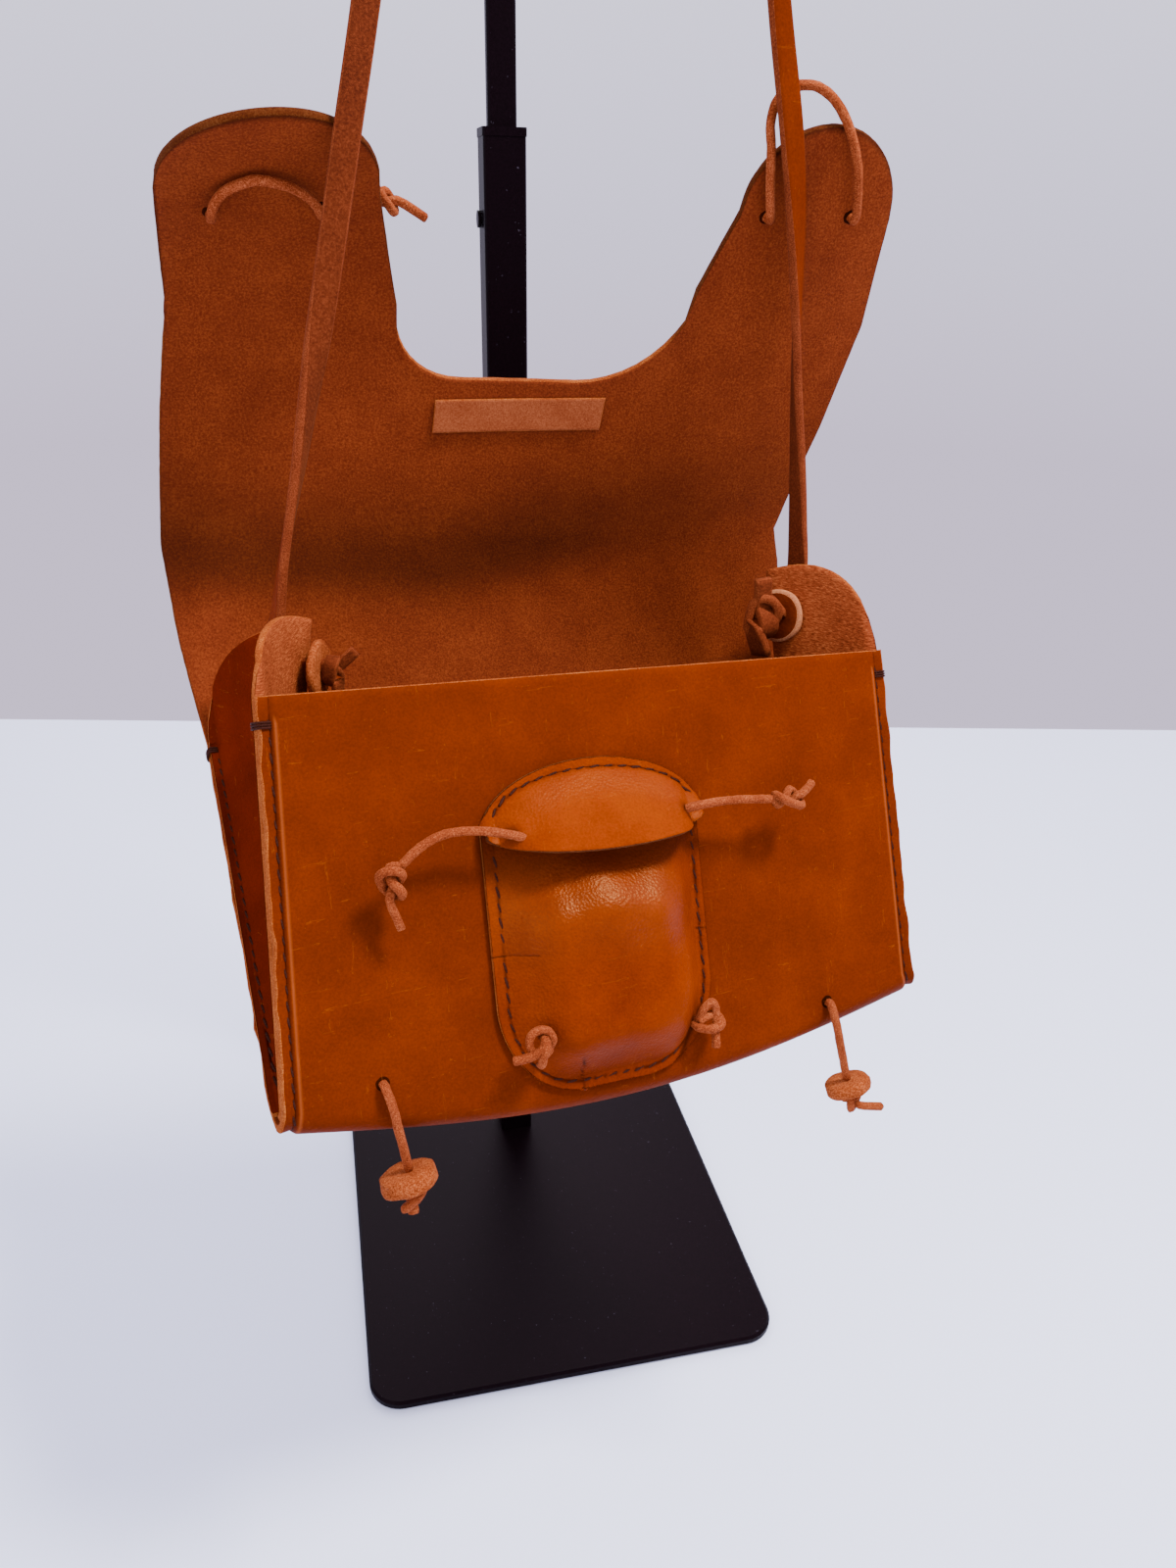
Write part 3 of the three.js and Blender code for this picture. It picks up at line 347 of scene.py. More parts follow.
finish = {
    "grain": grainLeather("vegetableTannedGrain", 0x561B02, 0x611F02, 0x6E2603, 0.45, 0.4, 0.02),
    "gusset": grainLeather("vegetableTannedGusset", 0x4A1001, 0x581401, 0x641A02, 0.55, 0.3, 0.01),
    "lid": grainLeather("vegetableTannedLid", 0x6C2402, 0x7A2B02, 0x863503, 0.38, 0.85, 0.02, 0.95),
    "pouch": grainLeather("wetMouldedGrain", 0x5E1C02, 0x6E2402, 0x7E2D03, 0.36, 0.75, 0.03, 0.95),
    "flesh": fibreLeather("fleshSide", 0x561E0C, 0x6A2A11, 0x803917),
    # a darker copy of the flesh side for the strap: painted shade
    "shadedStrapFlesh": fibreLeather("strapFleshSideShaded", 0x44180A, 0x58230F, 0x6D3017),
    "strapEdge": fibreLeather("strapCutEdge", 0x4C1B0C, 0x6A2C14, 0x884424, 0.6, None, 0.3),
    "gussetFlesh": fibreLeather(
        "brushedFleshSide", 0x5C230E, 0x82391A, 0xA8582E, 1.0, (0.4, 0.4, 1.8), 0.6
    ),
    "edge": fibreLeather("cutEdge", 0x60240A, 0x863E16, 0xAC6632, 0.6, None, 0.3),
    "lidEdge": fibreLeather("darkCutEdge", 0x34140A, 0x4E2410, 0x74401E, 0.6, None, 0.4),
    "lace": fibreLeather("suedeLace", 0x48170A, 0x7E3617, 0xAC5E36, 0.55, None, 0.3),
    "disc": fibreLeather("fleshSideDisc", 0x521C08, 0x863C18, 0xB06236, 0.8, None, 0.6),
    "washer": fibreLeather("paleCutEdge", 0x84442C, 0xA6643F, 0xC88A60, 0.5, None, 0.35),
    # dark discs round the punched holes: painted shadow of each hole with its darkened edge
    "holeShadowAndEdge": grainLeather("paintedHoleShadowAndEdge", 0x1C0701, 0x260A02, 0x3A1204, 0.6, 0.2, 0.03),
    "label": fibreLeather("skivedPatch", 0x702E16, 0x864222, 0x9A5430, 0.7, None, 0.15),
    "thread": waxedThread("waxedLinenThread", 0x280F08),
    "coated": powderCoat("powderCoatedSteel", 0x040102, 0x0A0306),
}
print("materials made")


def meshObject(name, vertices, faces, materials, materialOf=None):
    mesh = bpy.data.meshes.new(name)
    mesh.from_pydata([tuple(v) for v in np.asarray(vertices) / 1000], [], [tuple(f) for f in faces])
    for material in materials:
        mesh.materials.append(material)
    if materialOf is not None:
        mesh.polygons.foreach_set("material_index", list(materialOf))
    mesh.polygons.foreach_set("use_smooth", [True] * len(mesh.polygons))
    mesh.update()
    return addThing(name, mesh)


def settle(thing, slotName, *nodes):
    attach(thing, "root")
    if nodes:
        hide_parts(*nodes)
    return thing


# the frame that is carried along a path without twisting
def carriedFrames(path, tangents, start=None):
    t = np.array([unit(v) for v in tangents])
    side = np.asarray(start if start is not None else (0.3, -0.9, 0.2), float)
    side = unit(side - t[0] * side.dot(t[0]))
    sides = [side]
    for k in range(1, len(path)):
        side = side - t[k] * side.dot(t[k])
        side = unit(side)
        sides.append(side)
    sides = np.array(sides)
    return sides, np.cross(t, sides)


def ringFaces(rings, segments):
    # the quads between one ring of points and the next, then a lid on each end
    faces = []
    for i in range(rings - 1):
        for j in range(segments):
            a, b = i * segments + j, i * segments + (j + 1) % segments
            faces.append((a, b, b + segments, a + segments))
    faces.append(tuple(range(segments))[::-1])
    last = (rings - 1) * segments
    faces.append(tuple(last + j for j in range(segments)))
    return faces


def tubeParts(points, diameter, perSpan, rough, segments, seed=0, square=0.16, taper=True):
    # hand-cut lace: a rounded square with a slightly uneven outline
    path, tangents = curvePoints(points, perSpan, True)
    sides, ups = carriedFrames(path, tangents)
    radius = diameter / 2
    rings = []
    for p, a, b in zip(path, sides, ups):
        ring = []
        for j in range(segments):
            angle = 2 * math.pi * j / segments
            corner = 1 + square * (1 - abs(math.cos(2 * angle))) - square / 2
            at = Vector((p[0] * 0.5 + seed, p[1] * 0.5, p[2] * 0.5 + j * 0.9))
            r = radius * corner * (1 + rough * noise.noise(at) * 2)
            ring.append(p + r * (math.cos(angle) * a + math.sin(angle) * b))
        rings.append(ring)
    rows = [np.array(ring) for ring in rings]
    bulge = radius * (0.7 if taper else 0.3)
    ends = []
    for index, sign in ((0, -1), (-1, 1)):
        t = unit(tangents[index]) * sign
        for inset, out in ((0.82, 0.32), (0.45, 0.46)):
            ends.append(path[index] + (rows[index] - path[index]) * inset + t * bulge * out)
    full = [ends[1], ends[0], *rows, ends[2], ends[3]]
    vertices = np.vstack(full)
    return vertices, ringFaces(len(full), segments), path


def joinParts(parts):
    vertices, faces, start = [], [], 0
    for v, f in parts:
        vertices.append(np.asarray(v))
        faces += [tuple(index + start for index in face) for face in f]
        start += len(v)
    return np.vstack(vertices), faces


# an overhand knot: a loose one is drawn tight by pulling its ends while its strands stay apart
# lengths are in cord diameters
knotShape = {"points": 56, "rounds": 520, "stiffness": 0.1, "spacing": 0.34, "apart": 1.0}
knotShape |= {"coreReach": 1.75, "neighbours": 1.7, "pull": 0.03, "push": 0.3, "boost": 1.6}
knotShape |= {"passes": 6}


def drawKnot():
    count, spacing = knotShape["points"], knotShape["spacing"]
    t = np.linspace(-1.95, 1.95, count)
    p = np.c_[-(t**3 - 3 * t) * 1.3, (t**4 - 4 * t * t + 2) * 1.15, (t**5 / 5 - 2 * t) * 1.3]
    s = np.concatenate([[0], np.cumsum(np.linalg.norm(np.diff(p, axis=0), axis=1))])
    even = np.linspace(0, s[-1], count)
    p = np.array([np.interp(even, s, p[:, k]) for k in range(3)]).T
    if p[0, 0] > p[-1, 0]:
        p = p[::-1].copy()
    startSpacing = s[-1] / (count - 1)
    first, second = np.triu_indices(count, math.ceil(knotShape["neighbours"] / spacing))
    rounds = knotShape["rounds"]
    for r in range(rounds):
        length = max(spacing, startSpacing * (1 - r / (rounds * 0.6)))
        p[0, 0] -= knotShape["pull"]
        p[-1, 0] += knotShape["pull"]
        for _ in range(knotShape["passes"]):
            for parity in (0, 1):
                a = np.arange(parity, count - 1, 2)
                d = p[a + 1] - p[a]
                change = d * (1 - length / np.linalg.norm(d, axis=1, keepdims=True)) / 2
                p[a] += change
                p[a + 1] -= change
            d = p[second] - p[first]
            n = np.linalg.norm(d, axis=1)
            close = n < knotShape["apart"]
            if close.any():
                overlap = (knotShape["apart"] - n[close])[:, None]
                push = d[close] / n[close, None] * overlap * knotShape["push"]
                total, hits = np.zeros_like(p), np.zeros(count)
                np.add.at(total, second[close], push)
                np.add.at(total, first[close], -push)
                np.add.at(hits, second[close], 1)
                np.add.at(hits, first[close], 1)
                p += total / np.maximum(hits, 1)[:, None] * knotShape["boost"]
            p[1:-1] += knotShape["stiffness"] / 2 * ((p[2:] + p[:-2]) / 2 - p[1:-1])
    p -= p[np.abs(p[:, 0]) < 2].mean(axis=0)
    return p[np.abs(p[:, 0]) < knotShape["coreReach"]]


knotCore = drawKnot()


def overhandPath(centre, comeIn, goOut, diameter, size=1.0, roll=0.0):
    along = unit(np.asarray(goOut, float) - np.asarray(comeIn, float))
    guess = np.array([0.2, -1.0, 0.15])
    across = unit(guess - along * guess.dot(along))
    third = np.cross(along, across)
    c, s = math.cos(roll), math.sin(roll)
    across, third = c * across + s * third, -s * across + c * third
    core = knotCore[:, :1] * along + knotCore[:, 1:2] * across + knotCore[:, 2:] * third
    core = np.asarray(centre, float) + diameter * size * core
    return [np.asarray(comeIn, float), *core, np.asarray(goOut, float)]


# how the shell is laid out: front panel, bend, back panel and flap, all one sheet
front = {"dropLeft": 126.5, "dropRight": 120, "sag": 15.5, "skew": -1.5}
front |= {"creaseTop": 108.5, "creaseBottom": 112}
bend = {"radiusSide": 7, "radiusMiddle": 6.5}
hinge = {"yLeft": 98, "yRight": 87, "z": -11.5, "halfWidth": 122}
backBow = 3  # how far the back panel stands out at its middle
rollStep = 2.5  # length of the steps in which the flap's curve is summed
margin = {"grooveWidth": 1.7, "grooveDepth": 1.3, "flange": 3.9}
flangeLift = {"front": 22, "bottom": 14, "hinge": 0}
# columns: distance past the hinge, direction at the left and right edge, sideways sway of each
flapRoll = np.array(
    [
        (0, 84, 97, 0, 0),
        (20, 91, 105.5, -3, 0.5),
        (40, 98, 114, -6, -3.5),
        (60, 104.3, 120.9, -7.7, -7.5),
        (75, 109, 126, -9, -13),
        (120, 122, 131, -6, -5),
        (160, 138, 131, -2, -1),
        (205, 167, 133, -5, -5),
        (260, 180, 138, -8, -9),
    ],
    float,
)
flapCut = {
    "bottom": 135,
    "left": {"flatHalf": 21, "cornerRadius": 26, "earInner": 55, "earTop": 237},
    "right": {"flatHalf": 20, "cornerRadius": 35, "earInner": 65, "earTop": 226},
}
grooveRun = math.hypot(margin["grooveWidth"], margin["grooveDepth"])
marginRun = grooveRun + margin["flange"]
creaseLast = hinge["halfWidth"] - marginRun


def readRoll(at, column):
    return float(np.interp(at, flapRoll[:, 0], flapRoll[:, column]))


def sideShare(u):
    return math.cos(u * math.pi / 2)


def backRun(u):
    drop = mix(front["dropLeft"], front["dropRight"], (u + 1) / 2) + front["sag"] * sideShare(u)
    radius = mix(bend["radiusSide"], bend["radiusMiddle"], sideShare(u))
    hingeY = mix(hinge["yLeft"], hinge["yRight"], (u + 1) / 2)
    dy, dz = hingeY - radius, hinge["z"] + drop
    distance = math.hypot(dy, dz)
    lean = math.acos(radius / distance) - math.atan2(dz, dy)
    return drop, radius, lean, math.pi - lean, math.sqrt(distance**2 - radius**2), hingeY


def profile(u, part, t):
    # y, z and the direction into the bag, on the sheet's middle
    drop, radius, lean, turn, back, hingeY = backRun(u)
    if part == "front":
        return 0, -drop * t, 1, 0
    if part == "bend":
        angle = turn * t
        y, z = radius * (1 - math.cos(angle)), -drop - radius * math.sin(angle)
        return y, z, math.cos(angle), math.sin(angle)
    s, c = math.sin(lean), math.cos(lean)
    if part == "back":
        along = back * (1 - t)
        bow = backBow * math.sin(math.pi * t) * sideShare(u)
        return hingeY - along * s + bow * c, hinge["z"] - along * c - bow * s, -c, s
    share = smooth(u, -1, 1)
    y, z = hingeY, hinge["z"]
    at = 0.0
    angle = math.radians(mix(flapRoll[0][1], flapRoll[0][2], share))
    while at < t:
        length = min(rollStep, t - at)
        middle = at + length / 2
        angle = math.radians(mix(readRoll(middle, 1), readRoll(middle, 2), share))
        y += length * math.cos(angle)
        z += length * math.sin(angle)
        at += length
    return y, z, -math.sin(angle), math.cos(angle)


def creaseAt(part, t):
    # where the side margin folds, how far its flange lifts, and how deep the groove is there
    if part == "front":
        return mix(front["creaseTop"], front["creaseBottom"], t), flangeLift["front"], 1
    if part == "bend":
        lift = mix(flangeLift["front"], flangeLift["bottom"], t)
        return mix(front["creaseBottom"], creaseLast, t), lift, 1
    share = t if part == "back" else 1
    return creaseLast, mix(flangeLift["bottom"], flangeLift["hinge"], share), 1 - share**2


def shellPoint(q, part, t, depth=0.0):
    # q is the flat distance from the middle line, depth is toward the bag's inside
    u = clamp(q / hinge["halfWidth"], -1, 1)
    y, z, inY, inZ = profile(u, part, t)
    creaseX, liftDegrees, groove = creaseAt(part, t)
    past = max(0, abs(q) - creaseX)
    onFlange = max(0, past - grooveRun)
    onGroove = (past - onFlange) / grooveRun
    lift = math.radians(liftDegrees)
    tilt = lift if past >= grooveRun else 0
    dip = onGroove * margin["grooveDepth"] * groove
    reach = mix(grooveRun, margin["grooveWidth"], groove) * onGroove
    outX = abs(q) - past + reach + onFlange * math.cos(lift) + depth * math.sin(tilt)
    inward = dip - onFlange * math.sin(lift) + depth * math.cos(tilt)
    if part == "flap":
        sway = mix(readRoll(t, 3), readRoll(t, 4), smooth(u, -1, 1))
    else:
        sway = {"front": t, "bend": 1 - t, "back": 0}[part] * front["skew"]
    return np.array([math.copysign(1, q) * outX + sway, y + inward * inY, z + inward * inZ])


def onFlap(q, s, height):
    # a point off the flap: q across, s past the hinge
    return shellPoint(q, "flap", s, height)


def earRound(side):
    radius = (hinge["halfWidth"] - flapCut[side]["earInner"]) / 2
    return radius, hinge["halfWidth"] - radius


def flapEnd(q):
    # how far the flap reaches past the hinge: the flat of the U, its round corner, a slope, an ear
    side = "left" if q < 0 else "right"
    cut = flapCut[side]
    radius, middle = earRound(side)
    reach = abs(q)
    corner = reach - cut["flatHalf"]
    slopeStart = flapCut["bottom"] + cut["cornerRadius"]
    if corner < 0:
        return flapCut["bottom"]
    if corner < cut["cornerRadius"]:
        return slopeStart - math.sqrt(cut["cornerRadius"] ** 2 - corner**2)
    earLevel = cut["earTop"] - radius
    slopeWidth = cut["earInner"] - cut["flatHalf"] - cut["cornerRadius"]
    slope = (corner - cut["cornerRadius"]) / slopeWidth
    if reach < cut["earInner"]:
        return mix(slopeStart, earLevel, slope)
    return earLevel + math.sqrt(max(0, radius**2 - (reach - middle) ** 2))


def flapColumns(side):
    # flat distances from the middle line, closer together where the cut is steep
    cut = flapCut[side]
    radius, middle = earRound(side)
    start = cut["flatHalf"]
    columns = [start * k / 7 for k in range(8)]
    for degrees in (9, 18, 27, 36, 45, 54, 63, 72, 90):
        columns.append(start + cut["cornerRadius"] * math.sin(math.radians(degrees)))
    slopeFrom = start + cut["cornerRadius"]
    columns += [mix(slopeFrom, cut["earInner"], k / 7) for k in range(1, 8)]
    for k in range(4, 60):
        at = middle - radius * math.cos(math.radians(k * 3.4))
        if at < creaseLast - 0.5 and k * 3.4 < 175:
            columns.append(at)
    columns.append(creaseLast)
    columns += [creaseLast + grooveRun * share for share in (0.12, 0.4, 0.7, 0.95)]
    flangeFrom = creaseLast + grooveRun
    columns += [flangeFrom + margin["flange"] * share for share in (0.08, 0.3, 0.55, 0.8, 1)]
    return columns


def wholeColumns():
    return [-q for q in reversed(flapColumns("left"))] + flapColumns("right")[1:]


def sheetDistance(q, part, t):
    creaseX = creaseAt(part, t)[0]
    if abs(q) <= creaseLast:
        return q * creaseX / creaseLast
    return math.copysign(creaseX + abs(q) - creaseLast, q)


# the cords, each from one hole or knot to the next
cordRoutes = {
    "lid_lace_left": [
        (-39, -14.4, -51.2), (-41.6, -14, -50.4), (-48, -14.4, -48.6), (-56, -14, -47.4),
        (-65, -14.2, -47.8), (-72.8, -14, -51.4), (-78, -13.4, -55.6),
    ],
    "lid_lace_right": [
        (20, -14.4, -49), (22.4, -15.8, -48.4), (30, -16.2, -47.8), (38.5, -16, -47.9),
        (46, -16.2, -48.5), (53, -16.4, -49.2),
    ],
    "toggle_cord_left": [
        (-88, -2, -124), (-87.9, -3.6, -124.4), (-86.4, -5.3, -130.8), (-85, -3.4, -138.5),
        (-83.4, -0.4, -146), (-81.6, 3.9, -154.3),
    ],
    "toggle_cord_right": [
        (76.6, -2.1, -126.8), (76.7, -3.6, -127.4), (77.8, -4.6, -135), (79.8, -2.6, -142),
        (82.8, 0.8, -150), (86.4, 5.1, -158.7),
    ],
    "ear_loop_left": [
        (-110.5, 12.5, 149.2), (-110.5, 11.2, 147.2), (-110.6, 8, 147), (-109.9, 4, 148.6),
        (-107.6, 1.1, 150.6), (-103.6, -2.6, 151.5), (-98.7, -5.2, 152.2), (-92.5, -5.6, 151.7),
        (-85.9, -3.3, 151), (-80.4, 0.6, 149.2), (-78.2, 3.8, 147.8), (-77.9, 5.4, 148.4),
        (-77.9, 6.1, 150.4),
    ],
    "ear_loop_right": [
        (69.7, -16.9, 148.7), (69.7, -18.9, 147.1), (68.2, -22, 147.6), (66.6, -25, 150.4),
        (65.3, -28.2, 155.8), (63.9, -32.4, 163.8), (63, -34.6, 170.5), (64.3, -36.4, 176),
        (67.7, -38, 179.8), (72, -39.2, 181.3), (77.2, -40.8, 180.9), (82.1, -41.8, 177.8),
        (86.7, -41.8, 171.9), (91, -39.6, 165.4), (95.3, -35.2, 158.3), (98.6, -29.4, 152),
        (100.7, -25, 148.2), (101.2, -22.8, 147.6), (101.2, -21.1, 149.2),
    ],
}
# by the first word of a cord's name: what it ends in, how it lies and the pieces it carries
cordFacts = {
    "lid": {"end": "knot", "lay": "loose", "company": ["lid_knot"]},
    "toggle": {"end": "knot", "lay": "hanging", "company": ["toggle_disc", "toggle_knot"]},
    "ear": {"end": "object", "lay": "loose", "company": ["ear_tie"]},
}
lidKnots = {
    "left": {"centre": (-81.2, -13.4, -60.4), "tail": (-79.2, -10.5, -75), "roll": 2.3},
    "right": {"centre": (58.8, -16.6, -49.6), "tail": (68, -17.4, -45), "roll": 0.7},
}
cordLook = {"perSpan": 6, "rough": 0.05, "segments": 16, "square": 0.1}
knotLook = {"size": 1.12, "thin": 0.97, "rough": 0.05, "segments": 14}
toggles = {
    "left": {"disc": (-81.7, 5, -158), "axis": (0.19, 0.03, -0.98), "tail": (-82, 6, -168.5)},
    "right": {"disc": (87.4, 6.4, -162), "axis": (0.22, 0.01, -0.97), "tail": (102.6, 8, -173.8)},
}
toggleKnot = {"below": 3.6, "inside": 0.4, "size": 0.9, "discFit": 0.2, "wobble": 0.9}
toggles["left"] |= {"radius": 9.6, "thickness": 6, "roll": 0.5, "seed": 2.0}
toggles["right"] |= {"radius": 8.8, "thickness": 5.2, "roll": 1.5, "seed": 9.0}
laceSlot, discSlot, grainSlot = "lace_leather", "disc_leather", "grain_leather"


def buildCords():
    made = {}
    for index, (name, route) in enumerate(cordRoutes.items()):
        points = toRow(route)
        look = (cordLook["perSpan"], cordLook["rough"], cordLook["segments"])
        rest = (index * 7.0, cordLook["square"], False)
        vertices, faces, path = tubeParts(points, cordDiameter, *look, *rest)
        made[name] = (meshObject(f"look_{name}", vertices, faces, [finish["lace"]]), path)
    return made


cordPieces = buildCords()
print("cords laid")


def knotParts(path, perSpan=3, seed=0.0):
    diameter = cordDiameter * knotLook["thin"]
    look = (perSpan, knotLook["rough"], knotLook["segments"])
    return tubeParts(toRow(path), diameter, *look, seed)[:2]


def knotPiece(name, path, node, seed):
    vertices, faces = knotParts(path, 3, seed)
    return settle(meshObject(name, vertices, faces, [finish["lace"]]), laceSlot, node)


def buildLidKnots():
    for side, knot in lidKnots.items():
        run = cordRoutes[f"lid_lace_{side}"]
        size, roll = knotLook["size"], knot["roll"]
        path = overhandPath(knot["centre"], run[-1], knot["tail"], cordDiameter, size, roll)
        knotPiece(f"look_lid_knot_{side}", path, f"lid_knot_{side}", 3.0)


def discParts(centre, axis, radius, thickness, seed=0.0, wobble=0.4, segments=56):
    # a punched disc of thick hide with a rounded, fuzzy rim
    n = unit(axis)
    a = unit(np.cross(n, (0.1, 0.2, 1.0)))
    b = np.cross(n, a)
    half = thickness / 2
    rim = [(0.04, half), (radius * 0.55, half * 1.02), (radius * 0.86, half * 0.98)]
    rim += [(radius * 0.97, half * 0.74), (radius, half * 0.3), (radius * 0.995, -half * 0.3)]
    rim += [(radius * 0.965, -half * 0.76), (radius * 0.85, -half), (radius * 0.5, -half)]
    rim += [(0.04, -half)]
    vertices = []
    for r, h in rim:
        for j in range(segments):
            angle = 2 * math.pi * j / segments
            c, s = math.cos(angle), math.sin(angle)
            at = Vector((c * 1.3 + seed, s * 1.3, h * 0.5))
            grow = 1 + (wobble * noise.noise(at) / radius if r > radius * 0.3 else 0)
            lift = h + 0.28 * noise.noise(Vector((r * 0.25 * c + seed, r * 0.25 * s, 4.0)))
            vertices.append(np.asarray(centre, float) + r * grow * (c * a + s * b) + lift * n)
    return np.array(vertices), ringFaces(len(rim), segments)


def outward(thing):
    mesh = bmesh.new()
    mesh.from_mesh(thing.data)
    bmesh.ops.recalc_face_normals(mesh, faces=mesh.faces)
    mesh.to_mesh(thing.data)
    mesh.free()
    return thing


def buildToggles():
    for side, toggle in toggles.items():
        centre = np.asarray(toggle["disc"], float)
        axis = unit(toggle["axis"])
        seed, thickness = toggle["seed"], toggle["thickness"]
        radius = toggle["radius"] - toggleKnot["discFit"]
        v, f = discParts(centre, axis, radius, thickness, seed, toggleKnot["wobble"])
        thing = outward(meshObject(f"look_toggle_disc_{side}", toRow(v), f, [finish["disc"]]))
        settle(thing, discSlot, f"toggle_disc_{side}")
        below = centre + axis * (thickness / 2 + toggleKnot["below"])
        start = centre + axis * (thickness / 2 - toggleKnot["inside"])
        size, roll = toggleKnot["size"], toggle["roll"]
        path = overhandPath(below, start, toggle["tail"], cordDiameter, size, roll)
        knotPiece(f"look_toggle_knot_{side}", path, f"toggle_knot_{side}", seed)


# the cord that joins each ear loop behind the flap, tied off in a knot
earTies = {
    "left": {"run": [(-105.7, 190), (-90, 190), (-72, 192), (-58, 193.6)]},
    "right": {"run": [(105, 193), (100, 193), (96.5, 193)]},
}
earKnot = {"clear": 0.4, "knotOff": 2.9, "tailOff": 1, "restOff": 1.5, "size": 1.05, "roll": 0.9}
earTies["left"] |= {"knot": (-52, 194.5), "tail": (-38.4, 189)}
earTies["right"] |= {"knot": (90, 193), "tail": (92, 178), "rest": [(84, 193.5), (74.5, 194)]}


def buildEarTies():
    behind = -(wall["shell"] / 2 + gap + cordDiameter / 2 + earKnot["clear"])
    for side, tie in earTies.items():
        run = [onFlap(q, s, behind) for q, s in tie["run"]]
        middle = onFlap(*tie["knot"], behind - earKnot["knotOff"])
        tail = onFlap(*tie["tail"], behind - earKnot["tailOff"])
        path = overhandPath(middle, run[-1], tail, cordDiameter, earKnot["size"], earKnot["roll"])
        parts = [knotParts(run[:-1] + path, 3, 4.0)]
        if "rest" in tie:
            rest = [onFlap(*tie["knot"], behind - earKnot["restOff"])]
            parts.append(knotParts(rest + [onFlap(q, s, behind) for q, s in tie["rest"]], 5, 6.0))
        vertices, faces = joinParts(parts)
        piece = meshObject(f"look_ear_tie_{side}", vertices, faces, [finish["lace"]])
        settle(piece, laceSlot, f"ear_tie_{side}")


buildLidKnots()
buildToggles()
buildEarTies()
for cordName, (piece, path) in cordPieces.items():
    settle(piece, laceSlot, cordName)
    words = cordName.split("_")
    facts = cordFacts[words[0]]
print("knots and toggles tied")


def gridNormals(grid):
    normal = np.cross(np.gradient(grid, axis=0), np.gradient(grid, axis=1))
    return normal / (np.linalg.norm(normal, axis=2, keepdims=True) + 1e-12)


def wallParts(grid, thickness, rim=0.4, ripple=0.0, seed=0.0):
    # a closed wall of leather on a grid of middle points, with rounded cut edges
    # first the flesh side, then the grain side, then the cut edge
    rimSteps = 3
    grid = np.asarray(grid, float)
    across, along = grid.shape[:2]
    normal = gridNormals(grid)
    loop = [(i, 0) for i in range(across)] + [(across - 1, j) for j in range(1, along)]
    loop += [(i, along - 1) for i in range(across - 2, -1, -1)]
    loop += [(0, j) for j in range(along - 2, 0, -1)]
    rows, columns = np.array(loop).T
    edge = grid[rows, columns]
    edgeNormal = normal[rows, columns]
    tangent = np.roll(edge, -1, axis=0) - np.roll(edge, 1, axis=0)
    outwardWay = np.cross(tangent, edgeNormal)
    outwardWay /= np.linalg.norm(outwardWay, axis=1, keepdims=True) + 1e-12
    half = thickness / 2
    middle = grid.copy()
    middle[rows, columns] = edge - outwardWay * rim
    flesh = middle + normal * half
    grain = middle - normal * half
    rings = []
    for k in range(1, rimSteps + 1):
        angle = math.pi * k / (rimSteps + 1)
        shift = Vector((seed, k, 0))
        wave = [1 + ripple * noise.noise(Vector(p) * 0.7 + shift) for p in edge]
        lift = edgeNormal * half * math.cos(angle)
        out = outwardWay * rim * math.sin(angle) * np.array(wave)[:, None]
        rings.append(edge - outwardWay * rim + lift + out)
    vertices = np.vstack([flesh.reshape(-1, 3), grain.reshape(-1, 3), *rings])
    faces, kinds = [], []
    count = across * along
    for i in range(across - 1):
        for j in range(along - 1):
            a, b = i * along + j, (i + 1) * along + j
            faces.append((a, b, b + 1, a + 1))
            kinds.append(0)
            faces.append((count + a, count + a + 1, count + b + 1, count + b))
            kinds.append(1)
    size = len(loop)
    index = [i * along + j for i, j in loop]
    chain = [index] + [[2 * count + k * size + m for m in range(size)] for k in range(rimSteps)]
    chain.append([count + m for m in index])
    for upper, lower in zip(chain[:-1], chain[1:]):
        for m in range(size):
            n = (m + 1) % size
            faces.append((upper[n], upper[m], lower[m], lower[n]))
            kinds.append(2)
    return vertices, faces, kinds


def wallObject(name, grid, thickness, materials, rim=0.4, ripple=0.0, seed=0.0, **painted):
    # painted: one value for each grid point, kept as an attribute that the leather reads
    vertices, faces, kinds = wallParts(grid, thickness, rim, ripple, seed)
    thing = meshObject(name, toRow(vertices), faces, materials, kinds)
    for layer, given in painted.items():
        values = np.zeros(len(vertices))
        sides = 2 * given.size
        values[:sides] = np.tile(given.ravel(), 2)
        edge = np.concatenate([given[:, 0], given[-1, 1:], given[-2::-1, -1], given[0, -2:0:-1]])
        values[sides:] = np.tile(np.clip(edge, 0, 1), (len(vertices) - sides) // len(edge))
        thing.data.attributes.new(layer, "FLOAT", "POINT").data.foreach_set("value", values)
    return thing


shellLook = {"frontRows": 44, "bendRows": 16, "backRows": 30, "flapRows": 84, "rim": 0.45}
shellLook |= {"ripple": 0.35, "waver": 0.9, "waverOut": 0.25, "waverDown": 0.35}


def shellGrid():
    columns = wholeColumns()
    stations = []
    for part in ("front", "bend", "back"):
        rows = shellLook[f"{part}Rows"]
        stations += [(part, k / rows) for k in range(rows)]
    rows = shellLook["flapRows"]
    grid = []
    for q in columns:
        line = [shellPoint(sheetDistance(q, part, t), part, t) for part, t in stations]
        line += [shellPoint(q, "flap", flapEnd(q) * k / rows) for k in range(rows + 1)]
        grid.append(line)
    grid = np.array(grid)
    # the cut edges waver, most along the sewn flanges
    for side, columnsAt in ((-1, (0, 1, 2)), (1, (-1, -2, -3))):
        for share, column in zip((1, 0.7, 0.3), columnsAt):
            for point in grid[column, : len(stations) - 2]:
                at = Vector((side * 5, point[1] / 9, point[2] / 9))
                out = shellLook["waverOut"] + shellLook["waver"] * noise.noise(at)
                point[0] += side * share * out
                point[1] += share * shellLook["waverDown"] * noise.noise(at * 2.3)
    return grid
